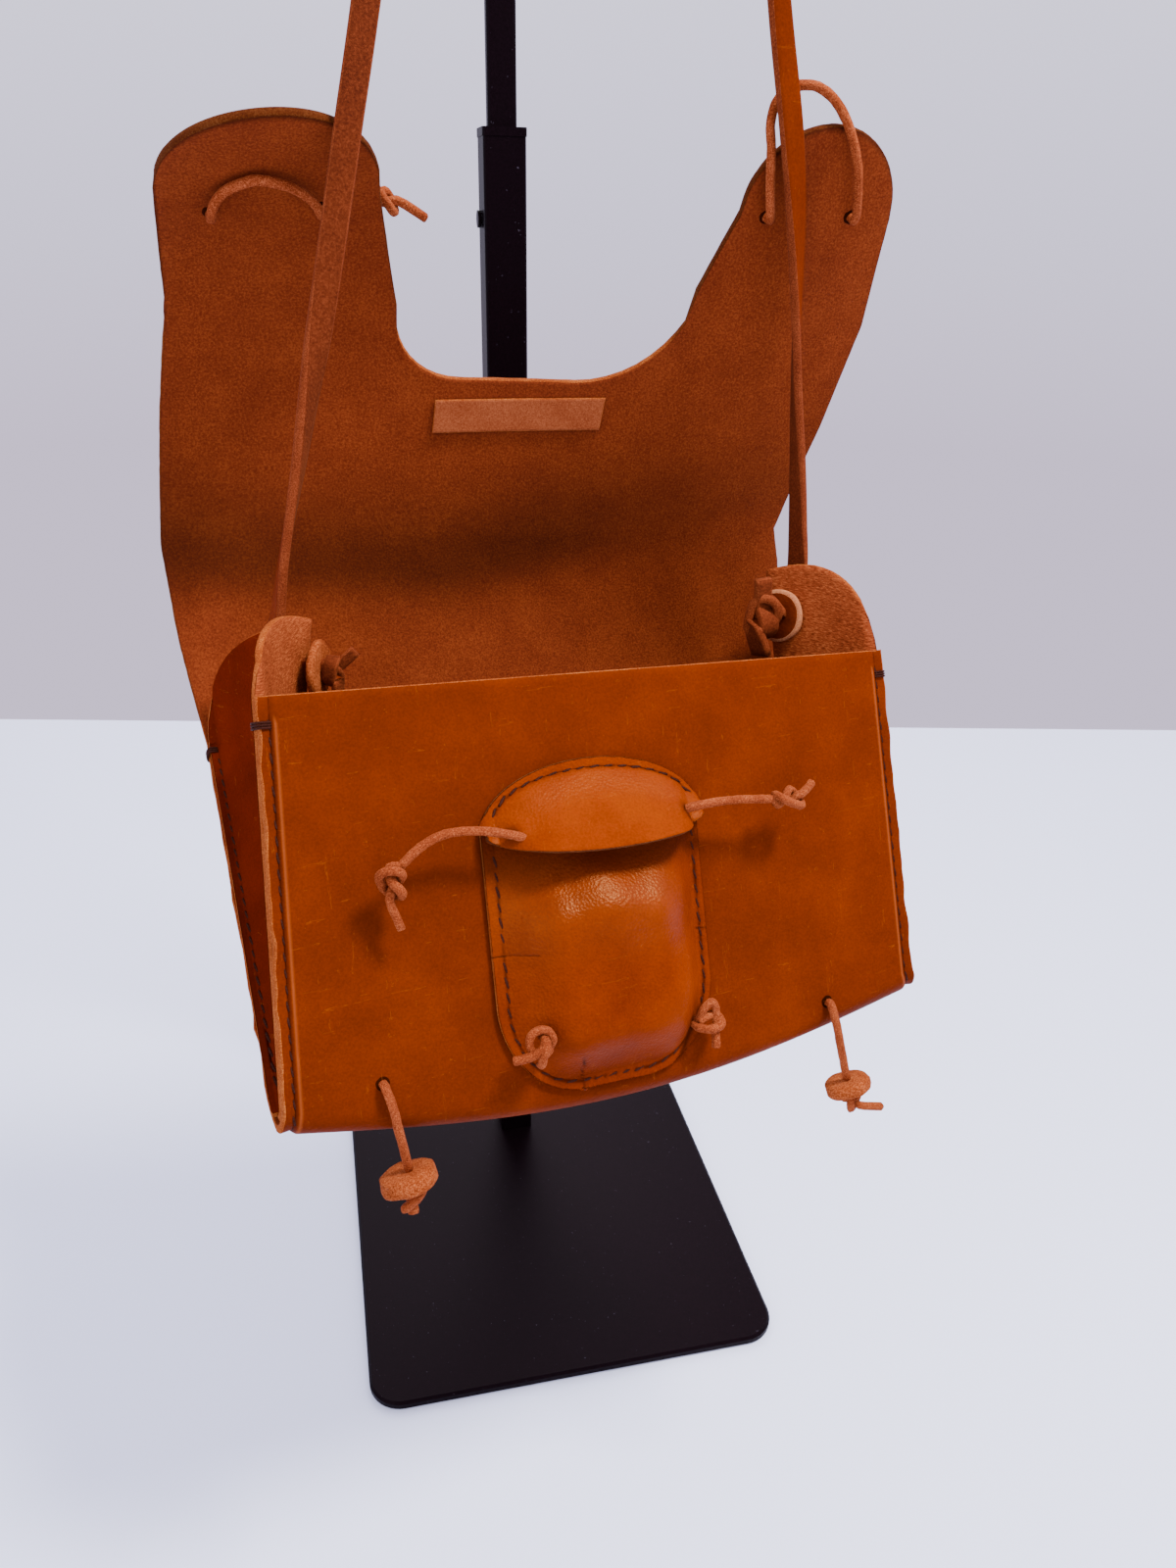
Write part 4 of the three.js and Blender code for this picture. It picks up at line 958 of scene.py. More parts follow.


# painted shade of the hollow crosses the flap at a distance past the hinge, in millimetres; the lip
# is a painted highlight along each seam's crease
shadeLook = {"groove": 0.75, "grooveAt": 0.75, "grooveWidth": 0.45, "lip": -0.38}
shadeLook |= {"hollowAt": 61.5, "hollowFrom": -20, "riseRight": 0.23, "riseLeft": -0.08}
shadeLook |= {"hollow": 0.6, "hollowFade": 0.32, "below": 15, "above": 30}
shadeLook |= {"hinge": 0.18, "hingeWidth": 5, "rim": 0.5, "earRim": 0.75}


def shellShade():
    # painted shade in the hollow across the flap and at the hinge, seam grooves darker both as
    # burnished leather and with painted shade, a painted highlight on each crease, and darker cut
    # edges on the flap
    columns = wholeColumns()
    below = shellLook["frontRows"] + shellLook["bendRows"] + shellLook["backRows"]
    rows = shellLook["flapRows"]
    values = np.zeros((len(columns), below + rows + 1))
    hollowShades = np.zeros_like(values)
    for i, q in enumerate(columns):
        past = (abs(q) - creaseLast) / grooveRun
        if 0.05 < past < 1.5:
            fromMiddle = (past - shadeLook["grooveAt"]) / shadeLook["grooveWidth"]
            # the groove is darkened, as burnished leather and with painted shade
            values[i, 3 : below - 2] = shadeLook["groove"] * math.exp(-(fromMiddle**2))
        elif -0.05 < past < 1.5:
            # a painted highlight along the crease
            values[i, 3 : below - 2] = shadeLook["lip"]
        beyond = q - shadeLook["hollowFrom"]
        slope = shadeLook["riseRight"] if beyond > 0 else shadeLook["riseLeft"]
        hollow = shadeLook["hollowAt"] + slope * beyond
        depth = shadeLook["hollow"] - shadeLook["hollowFade"] * smooth(q, 15, 80)
        for k in range(rows + 1):
            s = flapEnd(q) * k / rows
            width = shadeLook["below"] if s < hollow else shadeLook["above"]
            # painted shade in the flap's hollow
            hollowShades[i, below + k] = depth * math.exp(-(((s - hollow) / width) ** 2))
            # painted shadow at the hinge
            nearHinge = math.exp(-((s / shadeLook["hingeWidth"]) ** 2))
            values[i, below + k] = shadeLook["hinge"] * nearHinge
            if (k == rows and s > 150) or (i in (0, len(columns) - 1) and s > 8):
                rim = shadeLook["earRim"] * smooth(s, 150, 170)
                values[i, below + k] = max(shadeLook["rim"], rim)
    return {"shade": values, "hollow": hollowShades}


shellMiddle = shellGrid()
shellPiece = wallObject(
    "look_shell",
    shellMiddle,
    wall["shell"],
    [finish["flesh"], finish["grain"], finish["edge"]],
    shellLook["rim"],
    shellLook["ripple"],
    **shellShade(),
)
settle(shellPiece, grainSlot, "shell")
print("shell laid out")


# each gusset is folded inward on its middle line and ends in two round lobes
gusset = {"foldLevels": (0, 0.45, 1), "foldInsets": (4.5, 12, 21), "foldRound": 0.11}
gusset |= {"foldTopLeft": (88, 40, 27), "foldTopRight": (92, 40, 37), "foldShare": 0.45}
gusset |= {"lobePower": 2.6, "lobeLeanLeft": 5, "lobeLeanRight": 15}
gusset |= {"seamTop": 7, "inBend": 0.09, "levels": 34, "lobeRows": 16}
sideSign = {"left": -1, "right": 1}


def gussetRails(sign, level):
    stack = wall["shell"] / 2 + gap + wall["gusset"] / 2
    frontTop = gusset["seamTop"] / backRun(sign)[0]
    inBend = gusset["inBend"]

    def railPoint(part, t, share):
        q = creaseAt(part, t)[0] + grooveRun + 0.01 + share * (margin["flange"] - 0.6)
        return shellPoint(sign * q, part, t, stack)

    def place(onFront, share):
        if level < inBend:
            t = mix(0.3, 0, level / inBend) if onFront else mix(0.8, 1, level / inBend)
            return railPoint("bend", t, share)
        up = (level - inBend) / (1 - inBend)
        if onFront:
            return railPoint("front", mix(1, frontTop, up), share)
        return railPoint("back", up * 0.98, share)

    return place(True, 1), place(True, 0), place(False, 0), place(False, 1)


halfShares = (0.03, 0.07, 0.12, 0.18, 0.25, 0.33, 0.42, 0.52, 0.62, 0.72, 0.82, 0.91, 0.96)
roundShares = (0, 0.11, 0.22, 0.33, 0.5, 0.67, 0.84, 1)
foldIndex = 5 + len(halfShares) + 3


def gussetSection(rails, fold):
    frontEdge, a, b, backEdge = rails
    foldFront = mix(fold, a, gusset["foldRound"])
    foldBack = mix(fold, b, gusset["foldRound"])
    points = [mix(frontEdge, a, share) for share in (0, 0.04, 0.15, 0.55)] + [a]
    points += [mix(a, foldFront, t) for t in halfShares]
    for t in roundShares:
        points.append((1 - t) ** 2 * foldFront + 2 * t * (1 - t) * fold + t * t * foldBack)
    points += [mix(b, foldBack, t) for t in reversed(halfShares)]
    points += [b] + [mix(backEdge, b, share) for share in (0.55, 0.15, 0.04, 0)]
    return np.array(points)


def gussetSections(side):
    sign = sideSign[side]
    lobePower, lobeLean = gusset["lobePower"], gusset[f"lobeLean{side.capitalize()}"]
    sections = []
    for k in range(gusset["levels"] + 1):
        level = (k / gusset["levels"]) ** 0.9
        rails = gussetRails(sign, level)
        fold = mix(rails[1], rails[2], gusset["foldShare"])
        fold[0] -= sign * float(np.interp(level, gusset["foldLevels"], gusset["foldInsets"]))
        sections.append(gussetSection(rails, fold))
    seam = sections[-1]
    peakX, peakY, peakZ = gusset[f"foldTop{side.capitalize()}"]
    peakRise = np.array([sign * peakX, peakY, peakZ]) - fold
    steps = np.linalg.norm(np.diff(seam, axis=0), axis=1)
    lengths = np.concatenate([[0], np.cumsum(steps)])
    whole, foldAt = lengths[-1], lengths[foldIndex]
    for k in range(1, gusset["lobeRows"] + 1):
        row = k / gusset["lobeRows"]
        line = []
        for point, length in zip(seam, lengths):
            onFront = length < foldAt
            share = length / foldAt if onFront else (whole - length) / (whole - foldAt)
            inFrom = min(share * 1.12, 1)
            height = max(0.05, (1 - (1 - inFrom) ** lobePower) ** (1 / lobePower))
            lean = 1 if onFront else -lobeLean
            rise = mix(np.array([0, lean, peakZ - point[2]]), peakRise, share**2)
            line.append(point + rise * height * row)
        sections.append(np.array(line))
    return np.array(sections)


gussetShape = {side: gussetSections(side) for side in sideSign}


def buildGusset(side):
    grid = np.transpose(gussetShape[side], (1, 0, 2))
    if side == "right":
        grid = grid[::-1]
    materials = [finish["gussetFlesh"], finish["gusset"], finish["edge"]]
    piece = wallObject(f"look_gusset_{side}", grid, wall["gusset"], materials, 0.35, 0.3, 5)
    settle(piece, "gusset_leather", f"gusset_{side}")


for side in sideSign:
    buildGusset(side)
print("gussets folded")


# the strap goes through a slot in each gusset and a washer, over the stand's hook
strapHole = {"left": 10, "right": 18, "across": 0.9, "turn": 90}
washer = {"radius": 10.5, "standOff": 0.8, "segments": 56, "seeds": {"left": 5.0, "right": 11.0}}
strapWidth = 8
strapEnd = {"left": 12, "right": 19}
hookFacts = {"x": -2.8, "y": -119, "z": 858, "radius": 5}
# x, y, z and the turn of the grain face about the run
strapLegs = {
    "left": [
        (-110, -117.5, 380, 28), (-107.8, -117, 389, 16), (-105.2, -117.3, 403, 6),
        (-101.7, -117.5, 418, -2), (-96.7, -117.5, 438, -16), (-91.6, -117.4, 460, -36),
        (-87, -117.4, 479, -72), (-82.5, -117.4, 498, -88), (-75.1, -117.5, 531, -90),
        (-67.8, -117.6, 563, -84), (-52, -118, 640, -62), (-37, -118.3, 710, -38),
        (-22, -118.7, 785, -14),
    ],
    "right": [
        (92.6, -78.6, 380, -52), (92.4, -79.3, 388, -42), (90.6, -80.5, 402, -26),
        (86.7, -83.4, 428, -8), (82.8, -86, 452, 10), (79.2, -89.2, 475, 22),
        (75.5, -92.8, 498, 44), (71.6, -96.4, 518, 66), (67.2, -99.4, 537, 82),
        (58.8, -102.2, 571, 70), (45.4, -105.2, 640, 46), (32, -108.6, 710, 24),
        (17, -114, 785, 8),
    ],
}


def holeFrame(side):
    sections = gussetShape[side]
    # on the gusset's front half, a little short of its fold
    foldStart = 5 + len(halfShares)
    rootToFold = sections[:, foldStart] - sections[:, 4]
    column = sections[:, 4] + rootToFold * mix(0.68, 1, strapHole["across"])
    j = 1
    while column[j][2] < strapHole[side]:
        j += 1
    t = (strapHole[side] - column[j - 1][2]) / (column[j][2] - column[j - 1][2])
    centre = mix(column[j - 1], column[j], t)
    into = unit(np.cross(rootToFold[j], column[j] - column[j - 1]))
    if into[0] * sideSign[side] > 0:
        into = -into
    return centre, into


def strapPoints():
    def end(side):
        centre, into = holeFrame(side)
        turn = strapHole["turn"] if side == "left" else -strapHole["turn"]
        inside = wall["gusset"] / 2 + washer["standOff"] + wall["washer"] + strapEnd[side] / 2
        return [(*toRow(centre + into * away), turn) for away in (inside, 3, -6)]

    reach = hookFacts["radius"] + gap + wall["strap"] / 2
    points = end("left") + strapLegs["left"]
    for degrees in (172, 145, 118, 90, 62, 35, 8):
        a = math.radians(degrees)
        x, z = hookFacts["x"] + reach * math.cos(a), hookFacts["z"] + reach * math.sin(a)
        points.append((x, hookFacts["y"], z, 0))
    return points + strapLegs["right"][::-1] + end("right")[::-1]


def bandParts(path, tangents, flats, width, thickness):
    # a flat strap with softly rounded cut edges; kinds: grain 0, flesh 1, edge 2
    half, depth = width / 2, thickness / 2
    outline = [(-half + 0.5, depth), (-half * 0.5, depth * 1.03)]
    outline += [(0, depth * 1.04), (half * 0.5, depth * 1.03)]
    outline += [(half - 0.5, depth), (half - 0.1, depth * 0.72)]
    outline += [(half + 0.35 * 0.2, 0), (half - 0.1, -depth * 0.72)]
    outline += [(-x, -y) for x, y in outline]
    kindOf = [0] * 4 + [2] * 4 + [1] * 4 + [2] * 4
    vertices = []
    for p, t, f in zip(path, tangents, flats):
        across = unit(np.cross(t, f))
        vertices += [p + across * a + f * b for a, b in outline]
    kinds = kindOf * (len(path) - 1) + [2, 2]
    return np.array(vertices), ringFaces(len(path), len(outline)), kinds


def bandAlong(points, width, thickness, perSpan=6):
    rows = [np.asarray(p[:3], float) for p in points]
    turns = [p[3] for p in points]
    path, tangents = curvePoints(rows, perSpan, True)
    tangents = np.array([unit(v) for v in tangents])
    turn = np.interp(np.arange(len(path)) / perSpan, range(len(turns)), turns)
    turn = np.convolve(np.pad(turn, 2, "edge"), np.ones(5) / 5, "valid")
    flats = []
    for t, angle in zip(tangents, turn):
        flat = np.array([-t[2], 0, t[0]])
        flat = unit(flat - t * flat.dot(t))
        flats.append(np.array(Matrix.Rotation(math.radians(angle), 3, Vector(t)) @ Vector(flat)))
    return bandParts(path, tangents, flats, width, thickness)


# the coin pocket: a wet-moulded pouch under an eyelid-shaped lid
pocket = {"middle": -10, "halfWidth": 39, "mouth": -50, "bottom": -138.5, "cornerRadius": 32}
pocket |= {"bottomHalf": 11, "margin": 5, "riseLeft": 17, "riseRight": 10, "riseBottom": 15}
pocket |= {"height": 14.5, "mouthHeight": 9, "rim": 0.3, "ripple": 0.3}
lid = {"middle": -9, "halfWidth": 39.5, "level": -50, "archHeight": 21.5, "skirt": 7.6}
lid |= {"clearance": 1.8, "columns": 101, "rows": 46, "rim": 0.35, "ripple": 0.3}
lid |= {"lip": 1.5, "puckerWidth": 3.3, "holeShade": 0.85, "holeWidth": 1.8}
lid |= {"shine": 0.5, "shineAt": 7, "shineWidth": 4}


def pouchHalfWidth(z):
    fromBottom = z - pocket["bottom"]
    if fromBottom > pocket["cornerRadius"]:
        return pocket["halfWidth"]
    rise = pocket["cornerRadius"] - fromBottom
    roundness = math.sqrt(max(0, pocket["cornerRadius"] ** 2 - rise**2)) / pocket["cornerRadius"]
    return mix(pocket["bottomHalf"], pocket["halfWidth"], roundness)


def swell(distance, rise):
    return 1 - (1 - clamp((distance - pocket["margin"]) / rise)) ** 2.2


def pouchHeight(x, z):
    fromSide = pouchHalfWidth(z) - abs(x - pocket["middle"])
    sideRise = pocket["riseLeft"] if x < pocket["middle"] else pocket["riseRight"]
    up = clamp((z - pocket["bottom"]) / (pocket["mouth"] - pocket["bottom"]))
    crown = mix(pocket["height"], pocket["mouthHeight"], up**3)
    return crown * swell(fromSide, sideRise) * swell(z - pocket["bottom"], pocket["riseBottom"])


def onFront(x, z, height, thickness):
    return np.array([x, -(wall["shell"] / 2 + gap + thickness / 2 + height), z])


# darts and folds: from x, z to x, z, how deep, how wide and how dark, the dark being painted shade
# in the crease
pouchCreases = [
    ((-48.8, -90.0), (-35.5, -90.2), 0.9, 0.42, 0.9),
    ((29.8, -91.8), (24.6, -91.4), 0.5, 0.42, 0.8),
    ((-23.2, -124.0), (-21.4, -139.5), 0.8, 0.45, 0.85),
    ((23.4, -119.5), (13.0, -137.0), 2.0, 1.3, 0.7),
    ((16.5, -98.0), (12.0, -117.0), -0.7, 2.2, 0.0),
]
# dents: x, z, how wide and how deep
pouchDents = [
    (-33, -66, 7, 1.6), (-24, -70, 6, 0.9), (-38, -82, 5, -1.1), (-30, -101, 10, 1.0),
    (-9, -77, 9, -1.5), (12, -80, 8, -0.8), (3, -66, 9, 1.4), (2, -92, 7, 0.5), (17, -86, 6, 0.7),
    (-16, -86, 5, 0.5), (-2, -121, 11, 0.9), (-22, -113, 8, -0.6), (10, -110, 6, -0.6),
]
# the leather puckers up where a lace passes through the lid: x, z and how high
laceHoles = [(-38.6, -50.6, 2.6), (18.6, -49.2, 2.0)]
stitchInset = {"left": 4.0, "right": 2.6, "bottom": 2.8, "lid": 3.9}
# the line of stitches is pressed in, and its groove darkened both as pressed leather and with
# painted shade
stitchLine = {"depth": 0.55, "lidDepth": 0.5, "width": 0.85, "shade": 0.8, "shadeWidth": 0.7}
pouchLook = {"edgeShare": 0.42, "mouthShare": 0.5, "wave": 0.04, "waveWidth": 9}
pouchLook |= {"dentDepth": 1.7, "dentFree": 6, "mouthShade": 0.45, "shineAt": -77, "shineWidth": 16}


def fromLine(x, z, a, b):
    ax, az, bx, bz = *a, *b
    t = clamp(((x - ax) * (bx - ax) + (z - az) * (bz - az)) / ((bx - ax) ** 2 + (bz - az) ** 2))
    return math.hypot(x - mix(ax, bx, t), z - mix(az, bz, t)), t


def pouchOutline(inset=0.0):
    # down the left side, round the bottom and up the right, moved inward
    shares = [math.sin(math.pi / 2 * k / 90) for k in range(91)]
    rows = [mix(pocket["mouth"], pocket["bottom"], share) for share in shares]
    left = [(pocket["middle"] - pouchHalfWidth(z), z) for z in rows]
    right = [(pocket["middle"] + pouchHalfWidth(z), z) for z in rows]
    shares = (-0.7, -0.35, 0, 0.35, 0.7)
    flat = [(pocket["middle"] + pocket["bottomHalf"] * share, pocket["bottom"]) for share in shares]
    line = np.array(left + flat + right[::-1])
    if inset:
        along = np.gradient(line, axis=0)
        along /= np.linalg.norm(along, axis=1, keepdims=True) + 1e-9
        inward = np.c_[-along[:, 1], along[:, 0]]
        depth = np.where(line[:, 0] < pocket["middle"], stitchInset["left"], stitchInset["right"])
        low = np.clip((pocket["bottom"] + 34 - line[:, 1]) / 30, 0, 1)
        depth = depth + (stitchInset["bottom"] - depth) * low
        line = line + inward * depth[:, None] * inset
    return line


pouchStitchLine = pouchOutline(1.0)
pouchEdgeLine = pouchOutline()


def pouchSurface(x, z):
    # height with its dents, darts and pressed stitch line, and how dark the leather is painted
    # there: painted shade in the creases, pressed leather with painted shade along the stitch
    # groove
    fromEdge = np.hypot(pouchEdgeLine[:, 0] - x, pouchEdgeLine[:, 1] - z).min()
    height = pouchHeight(x, z) * mix(pouchLook["edgeShare"], 1, smooth(fromEdge, 3, 24))
    wave = pouchLook["wave"] * math.sin((z + 95) / pouchLook["waveWidth"])
    height *= mix(pouchLook["mouthShare"], 1, smooth(-z, 54, 80)) + wave
    free = clamp(height / pouchLook["dentFree"])
    for cx, cz, size, depth in pouchDents:
        near = math.exp(-((x - cx) ** 2 + (z - cz) ** 2) / (2 * size**2))
        height -= pouchLook["dentDepth"] * free * depth * near
    shade = 0.0
    for a, b, depth, width, dark in pouchCreases:
        away, t = fromLine(x, z, a, b)
        press = math.exp(-((away / width) ** 2)) * (1 - 0.6 * t)
        height -= depth * press
        shade = max(shade, dark * math.exp(-((away / (width * 0.8)) ** 2)))
    away = np.hypot(pouchStitchLine[:, 0] - x, pouchStitchLine[:, 1] - z).min()
    height -= stitchLine["depth"] * math.exp(-((away / stitchLine["width"]) ** 2))
    pressAndShade = stitchLine["shade"] * math.exp(-((away / stitchLine["shadeWidth"]) ** 2))
    return height, max(shade, pressAndShade)


def pouchGrid():
    # rows and columns are closer together toward the edges and where a dart needs them
    across = [math.sin(math.pi / 2 * (2 * k / 84 - 1)) for k in range(85)]
    extra = [-0.312, -0.305, -0.298, -0.291, -0.284]
    across = sorted(across + extra)
    down = [math.sin(math.pi / 2 * k / 84) for k in range(85)]
    extra = [0.4435, 0.448, 0.452, 0.4565, 0.461, 0.4695, 0.474]
    down = sorted(down + extra)
    grid, shade, polish = [], [], []
    for share in across:
        line, dark, bright = [], [], []
        for drop in down:
            z = mix(pocket["mouth"], pocket["bottom"], drop)
            x = pocket["middle"] + share * pouchHalfWidth(z)
            height, pressAndShade = pouchSurface(x, z)
            line.append(onFront(x, z, max(height, -0.15), wall["pocket"]))
            # the pouch's mouth is darkened with painted shadow from the lid
            dark.append(max(pressAndShade, pouchLook["mouthShade"] * smooth(z, -71, -61)))
            level = (z - pouchLook["shineAt"]) / pouchLook["shineWidth"]
            bright.append(math.exp(-(level**2)) * (1 - smooth(share, 0.3, 0.8)))
        grid.append(line)
        shade.append(dark)
        polish.append(bright)
    return np.array(grid), np.array(shade), np.array(polish)


def lidPlace(turn, t):
    x = lid["middle"] + lid["halfWidth"] * math.cos(turn)
    top = lid["level"] + lid["archHeight"] * math.sin(turn)
    free = lid["level"] - lid["skirt"] * math.sin(turn) - 0.8
    z = mix(top, free, t)
    rise = clamp((t - 0.12) / 0.88)
    under = pouchHeight(x, min(z, pocket["mouth"]))
    above = under + wall["pocket"] + gap + lid["clearance"] + 1.8 * math.sin(turn) ** 2
    height = (1 - (1 - rise) ** 1.55) * above
    # distance from the arched edge, measured across the sheet
    inset = math.hypot(lid["archHeight"] * math.sin(turn), 4) * t * 1.25
    return x, z, height, inset * math.sqrt(max(math.sin(turn), 0.12))


def lidGrid():
    columns, rows = lid["columns"], lid["rows"]
    grid, shade, polish = [], [], []
    for i in range(columns):
        turn = math.radians(mix(172, 8, i / (columns - 1)))
        line, dark, bright = [], [], []
        for k in range(rows + 1):
            x, z, height, inset = lidPlace(turn, (k / rows) ** 1.25)
            height += lid["lip"] * smooth(k / rows, 0.82, 1) * math.sin(turn) ** 0.5
            away = np.hypot(lidStitchLine[:, 0] - x, lidStitchLine[:, 1] - z).min()
            height -= stitchLine["lidDepth"] * math.exp(-((away / stitchLine["width"]) ** 2))
            pressAndShade = stitchLine["shade"] * math.exp(-((away / stitchLine["shadeWidth"]) ** 2))
            for holeX, holeZ, pucker in laceHoles:
                fromHole = math.hypot(x - holeX, z - holeZ)
                height += pucker * math.exp(-((fromHole / lid["puckerWidth"]) ** 2))
                # painted shade in the hole, just beside the lace
                fromLace = math.hypot(x - holeX * 1.045, z - holeZ)
                dimmed = lid["holeShade"] * math.exp(-((fromLace / lid["holeWidth"]) ** 2))
                pressAndShade = max(pressAndShade, dimmed)
            line.append(onFront(x, z, max(height, -0.15), wall["pocket"]))
            dark.append(pressAndShade)
            level = (inset - lid["shineAt"]) / lid["shineWidth"]
            bright.append(lid["shine"] * math.exp(-(level**2)))
        grid.append(line)
        shade.append(dark)
        polish.append(bright)
    return np.array(grid), np.array(shade), np.array(polish)


def lidArch():
    turns = np.radians(np.linspace(166, 16, 60))
    x = lid["middle"] + (lid["halfWidth"] - stitchInset["lid"]) * np.cos(turns)
    z = lid["level"] + 2.2 + (lid["archHeight"] - stitchInset["lid"] - 2.2) * np.sin(turns)
    return np.c_[x, z]


lidStitchLine = lidArch()


def buildPocket():
    grid, shade, polish = pouchGrid()
    materials = [finish["flesh"], finish["pouch"], finish["edge"]]
    look = (wall["pocket"], materials, pocket["rim"], pocket["ripple"], 1.0)
    piece = wallObject("look_pocket_pouch", grid, *look, shade=shade, polish=polish)
    settle(piece, grainSlot, "pocket_pouch")
    grid, shade, polish = lidGrid()
    materials = [finish["flesh"], finish["lid"], finish["lidEdge"]]
    look = (wall["pocket"], materials, lid["rim"], lid["ripple"], 2.0)
    piece = wallObject("look_pocket_lid", grid, *look, shade=shade, polish=polish)
    settle(piece, "lid_leather", "pocket_lid")


buildPocket()
print("pocket moulded")


# the label patch, left bare
label = {"left": -28, "right": 32.5, "bottom": 116, "top": 128.5, "slant": -0.8, "tilt": 2.2}
label |= {"columns": 48, "rows": 12, "rim": 0.3}


def buildLabel():
    lift = wall["shell"] / 2 + gap + wall["label"] / 2
    grid = []
    for i in range(label["columns"] + 1):
        across = i / label["columns"]
        line = []
        for k in range(label["rows"] + 1):
            up = k / label["rows"]
            q = mix(label["left"], label["right"], across) + up * label["slant"]
            s = mix(label["bottom"], label["top"], up) + label["tilt"] * (across - 0.5)
            line.append(onFlap(q, s, lift))
        grid.append(line)
    materials = [finish["label"], finish["label"], finish["edge"]]
    piece = wallObject("look_label_patch", grid, wall["label"], materials, label["rim"])
    settle(piece, "label_leather", "label_patch")


buildLabel()


# washers and knots of the strap
strapKnots = {
    "left": {"away": 3.4, "size": 2.5, "width": 5, "thick": 2.4, "roll": 0.6, "stand": 2.6},
    "right": {"away": 10.8, "size": 4.3, "width": 8.2, "thick": 3.4, "roll": 2.4, "stand": 0.0},
}
# from the knot's middle, in the row's frame: the tail's middle, its length and its lean
strapTails = {
    "left": [(4, 0, 4.5, 9, 62), (0, -2, -6, 7, -12)],
    "right": [(-2.5, 0, 8.5, 13, 14), (-2, -3, -8.5, 12, -16)],
}


def buildWasher(side):
    centre, into = holeFrame(side)
    away = wall["gusset"] / 2 + washer["standOff"] + strapKnots[side]["stand"] + wall["washer"] / 2
    seed, size = washer["seeds"][side], washer["segments"]
    radius = washer["radius"] - 0.2
    v, f = discParts(centre + into * away, into, radius, wall["washer"], seed, 0.4, size)
    # the first rings of faces are the grain side, the next the rim and the last the flesh side
    kinds = [0 if index // size < 2 else 1 if index // size < 7 else 2 for index in range(len(f))]
    kinds[-2:] = [0, 2]
    face = finish["grain"] if side == "right" else finish["disc"]
    rim = finish["washer"] if side == "right" else finish["disc"]
    materials = [face, rim, finish["flesh"]]
    piece = meshObject(f"look_strap_washer_{side}", toRow(v), f, materials, kinds)
    settle(outward(piece), discSlot, f"strap_washer_{side}")


def stripParts(points, width, thickness, centre=None, perSpan=4):
    # a flat strip whose flesh side faces away from the centre
    path, tangents = curvePoints(points, perSpan, True)
    tangents = np.array([unit(v) for v in tangents])
    flats = []
    for p, t in zip(path, tangents):
        away = p - centre if centre is not None else np.array([0.15, -1.0, 0.2])
        away = away - t * away.dot(t)
        flats.append(-unit(away))
    flats = np.array(flats)
    for _ in range(3):
        flats[1:-1] = (flats[:-2] + flats[1:-1] * 2 + flats[2:]) / 4
    flats = np.array([unit(f - t * f.dot(t)) for f, t in zip(flats, tangents)])
    return bandParts(path, tangents, flats, width, thickness)


def buildStrap():
    v, f, allKinds = bandAlong(strapPoints(), strapWidth, wall["strap"])
    parts = [(v, f)]
    for side, knot in strapKnots.items():
        centre, into = holeFrame(side)
        stack = wall["gusset"] / 2 + washer["standOff"] + knot["stand"] + wall["washer"]
        start = toRow(centre + into * (stack - 1))
        middle = toRow(centre + into * (stack + knot["away"]))
        tails = []
        for x, y, z, length, lean in strapTails[side]:
            way = np.array([math.sin(math.radians(lean)), 0, math.cos(math.radians(lean))])
            at = middle + np.array([x, y, z])
            tails.append(at + way * length / 2 * (1 if z > 0 else -1))
        path = overhandPath(middle, start, tails[1], 1.0, knot["size"], knot["roll"])
        high = [middle, mix(middle, tails[0], 0.5), tails[0]]
        strips = [stripParts(path, knot["width"], knot["thick"], middle)]
        strips.append(stripParts(high, knot["width"] * 0.8, knot["thick"]))
        for v, f, kinds in strips:
            parts.append((v, f))
            allKinds += kinds
    vertices, faces = joinParts(parts)
    materials = [finish["grain"], finish["shadedStrapFlesh"], finish["strapEdge"]]
    piece = meshObject("look_strap", vertices, faces, materials, allKinds)
    settle(outward(piece), grainSlot, "strap")


for side in sideSign:
    buildWasher(side)
buildStrap()
print("strap hung and knotted")


# ties at the pouch's lower corners
pocketTies = {"left": {"ring": (-39, -117), "off": 2.1}}
pocketTies["right"] = {"ring": (23.8, -122.3), "off": 1.95}
pocketTieLook = {"thin": 0.96, "perSpan": 6, "rough": 0.06, "segments": 14, "seat": 3.2}
# points about the ring's middle: x, away from the leather, up
tieRuns = {
    "left": [
        [(3.4, -4.2, -3.2), (3.6, -1, -2.6), (3.9, 1.2, 0), (2.6, 2, 3), (-0.6, 2.3, 4)]
        + [(-3.4, 2, 2.6), (-4, 1.4, -0.8), (-2.4, 1.2, -3.6), (0.8, 1.6, -4.2), (2.6, 1.4, -2.6)],
        [(-9.4, 0.8, -4.6), (-6.4, 1.8, -4.3), (-3.2, 3.2, -3.4), (-0.4, 3.9, -1.6)]
        + [(0.8, 2.6, 0.6), (0.9, -0.6, 1.6)],
        [(-0.6, 0.2, -7.4), (-0.9, 2.6, -7), (-0.8, 4.4, -4.4), (0.3, 4.9, -1.6), (1.2, 3.6, 0.4)],
    ],
    "right": [
        [(-2.8, -3.8, -0.6), (-2.9, 0.6, 1.2), (-1.6, 2.6, 4.6), (0.8, 3.4, 6.2)]
        + [(2.4, 2.8, 4), (2.6, 2, 0), (2.4, 2.2, -3)],
        [(-4.4, -1, -1.2), (-3.9, 2.2, -2), (-0.6, 4.6, -2.6), (3.6, 3.8, -2), (4.6, 1, -0.4)]
        + [(2.8, 0.8, 1.4), (-0.4, 1.8, 1.2), (-3.4, 1.4, 0)],
        [(1.2, 1.6, -2), (1.6, 2.6, -5.4), (1.4, 2.4, -9.6)],
    ],
}


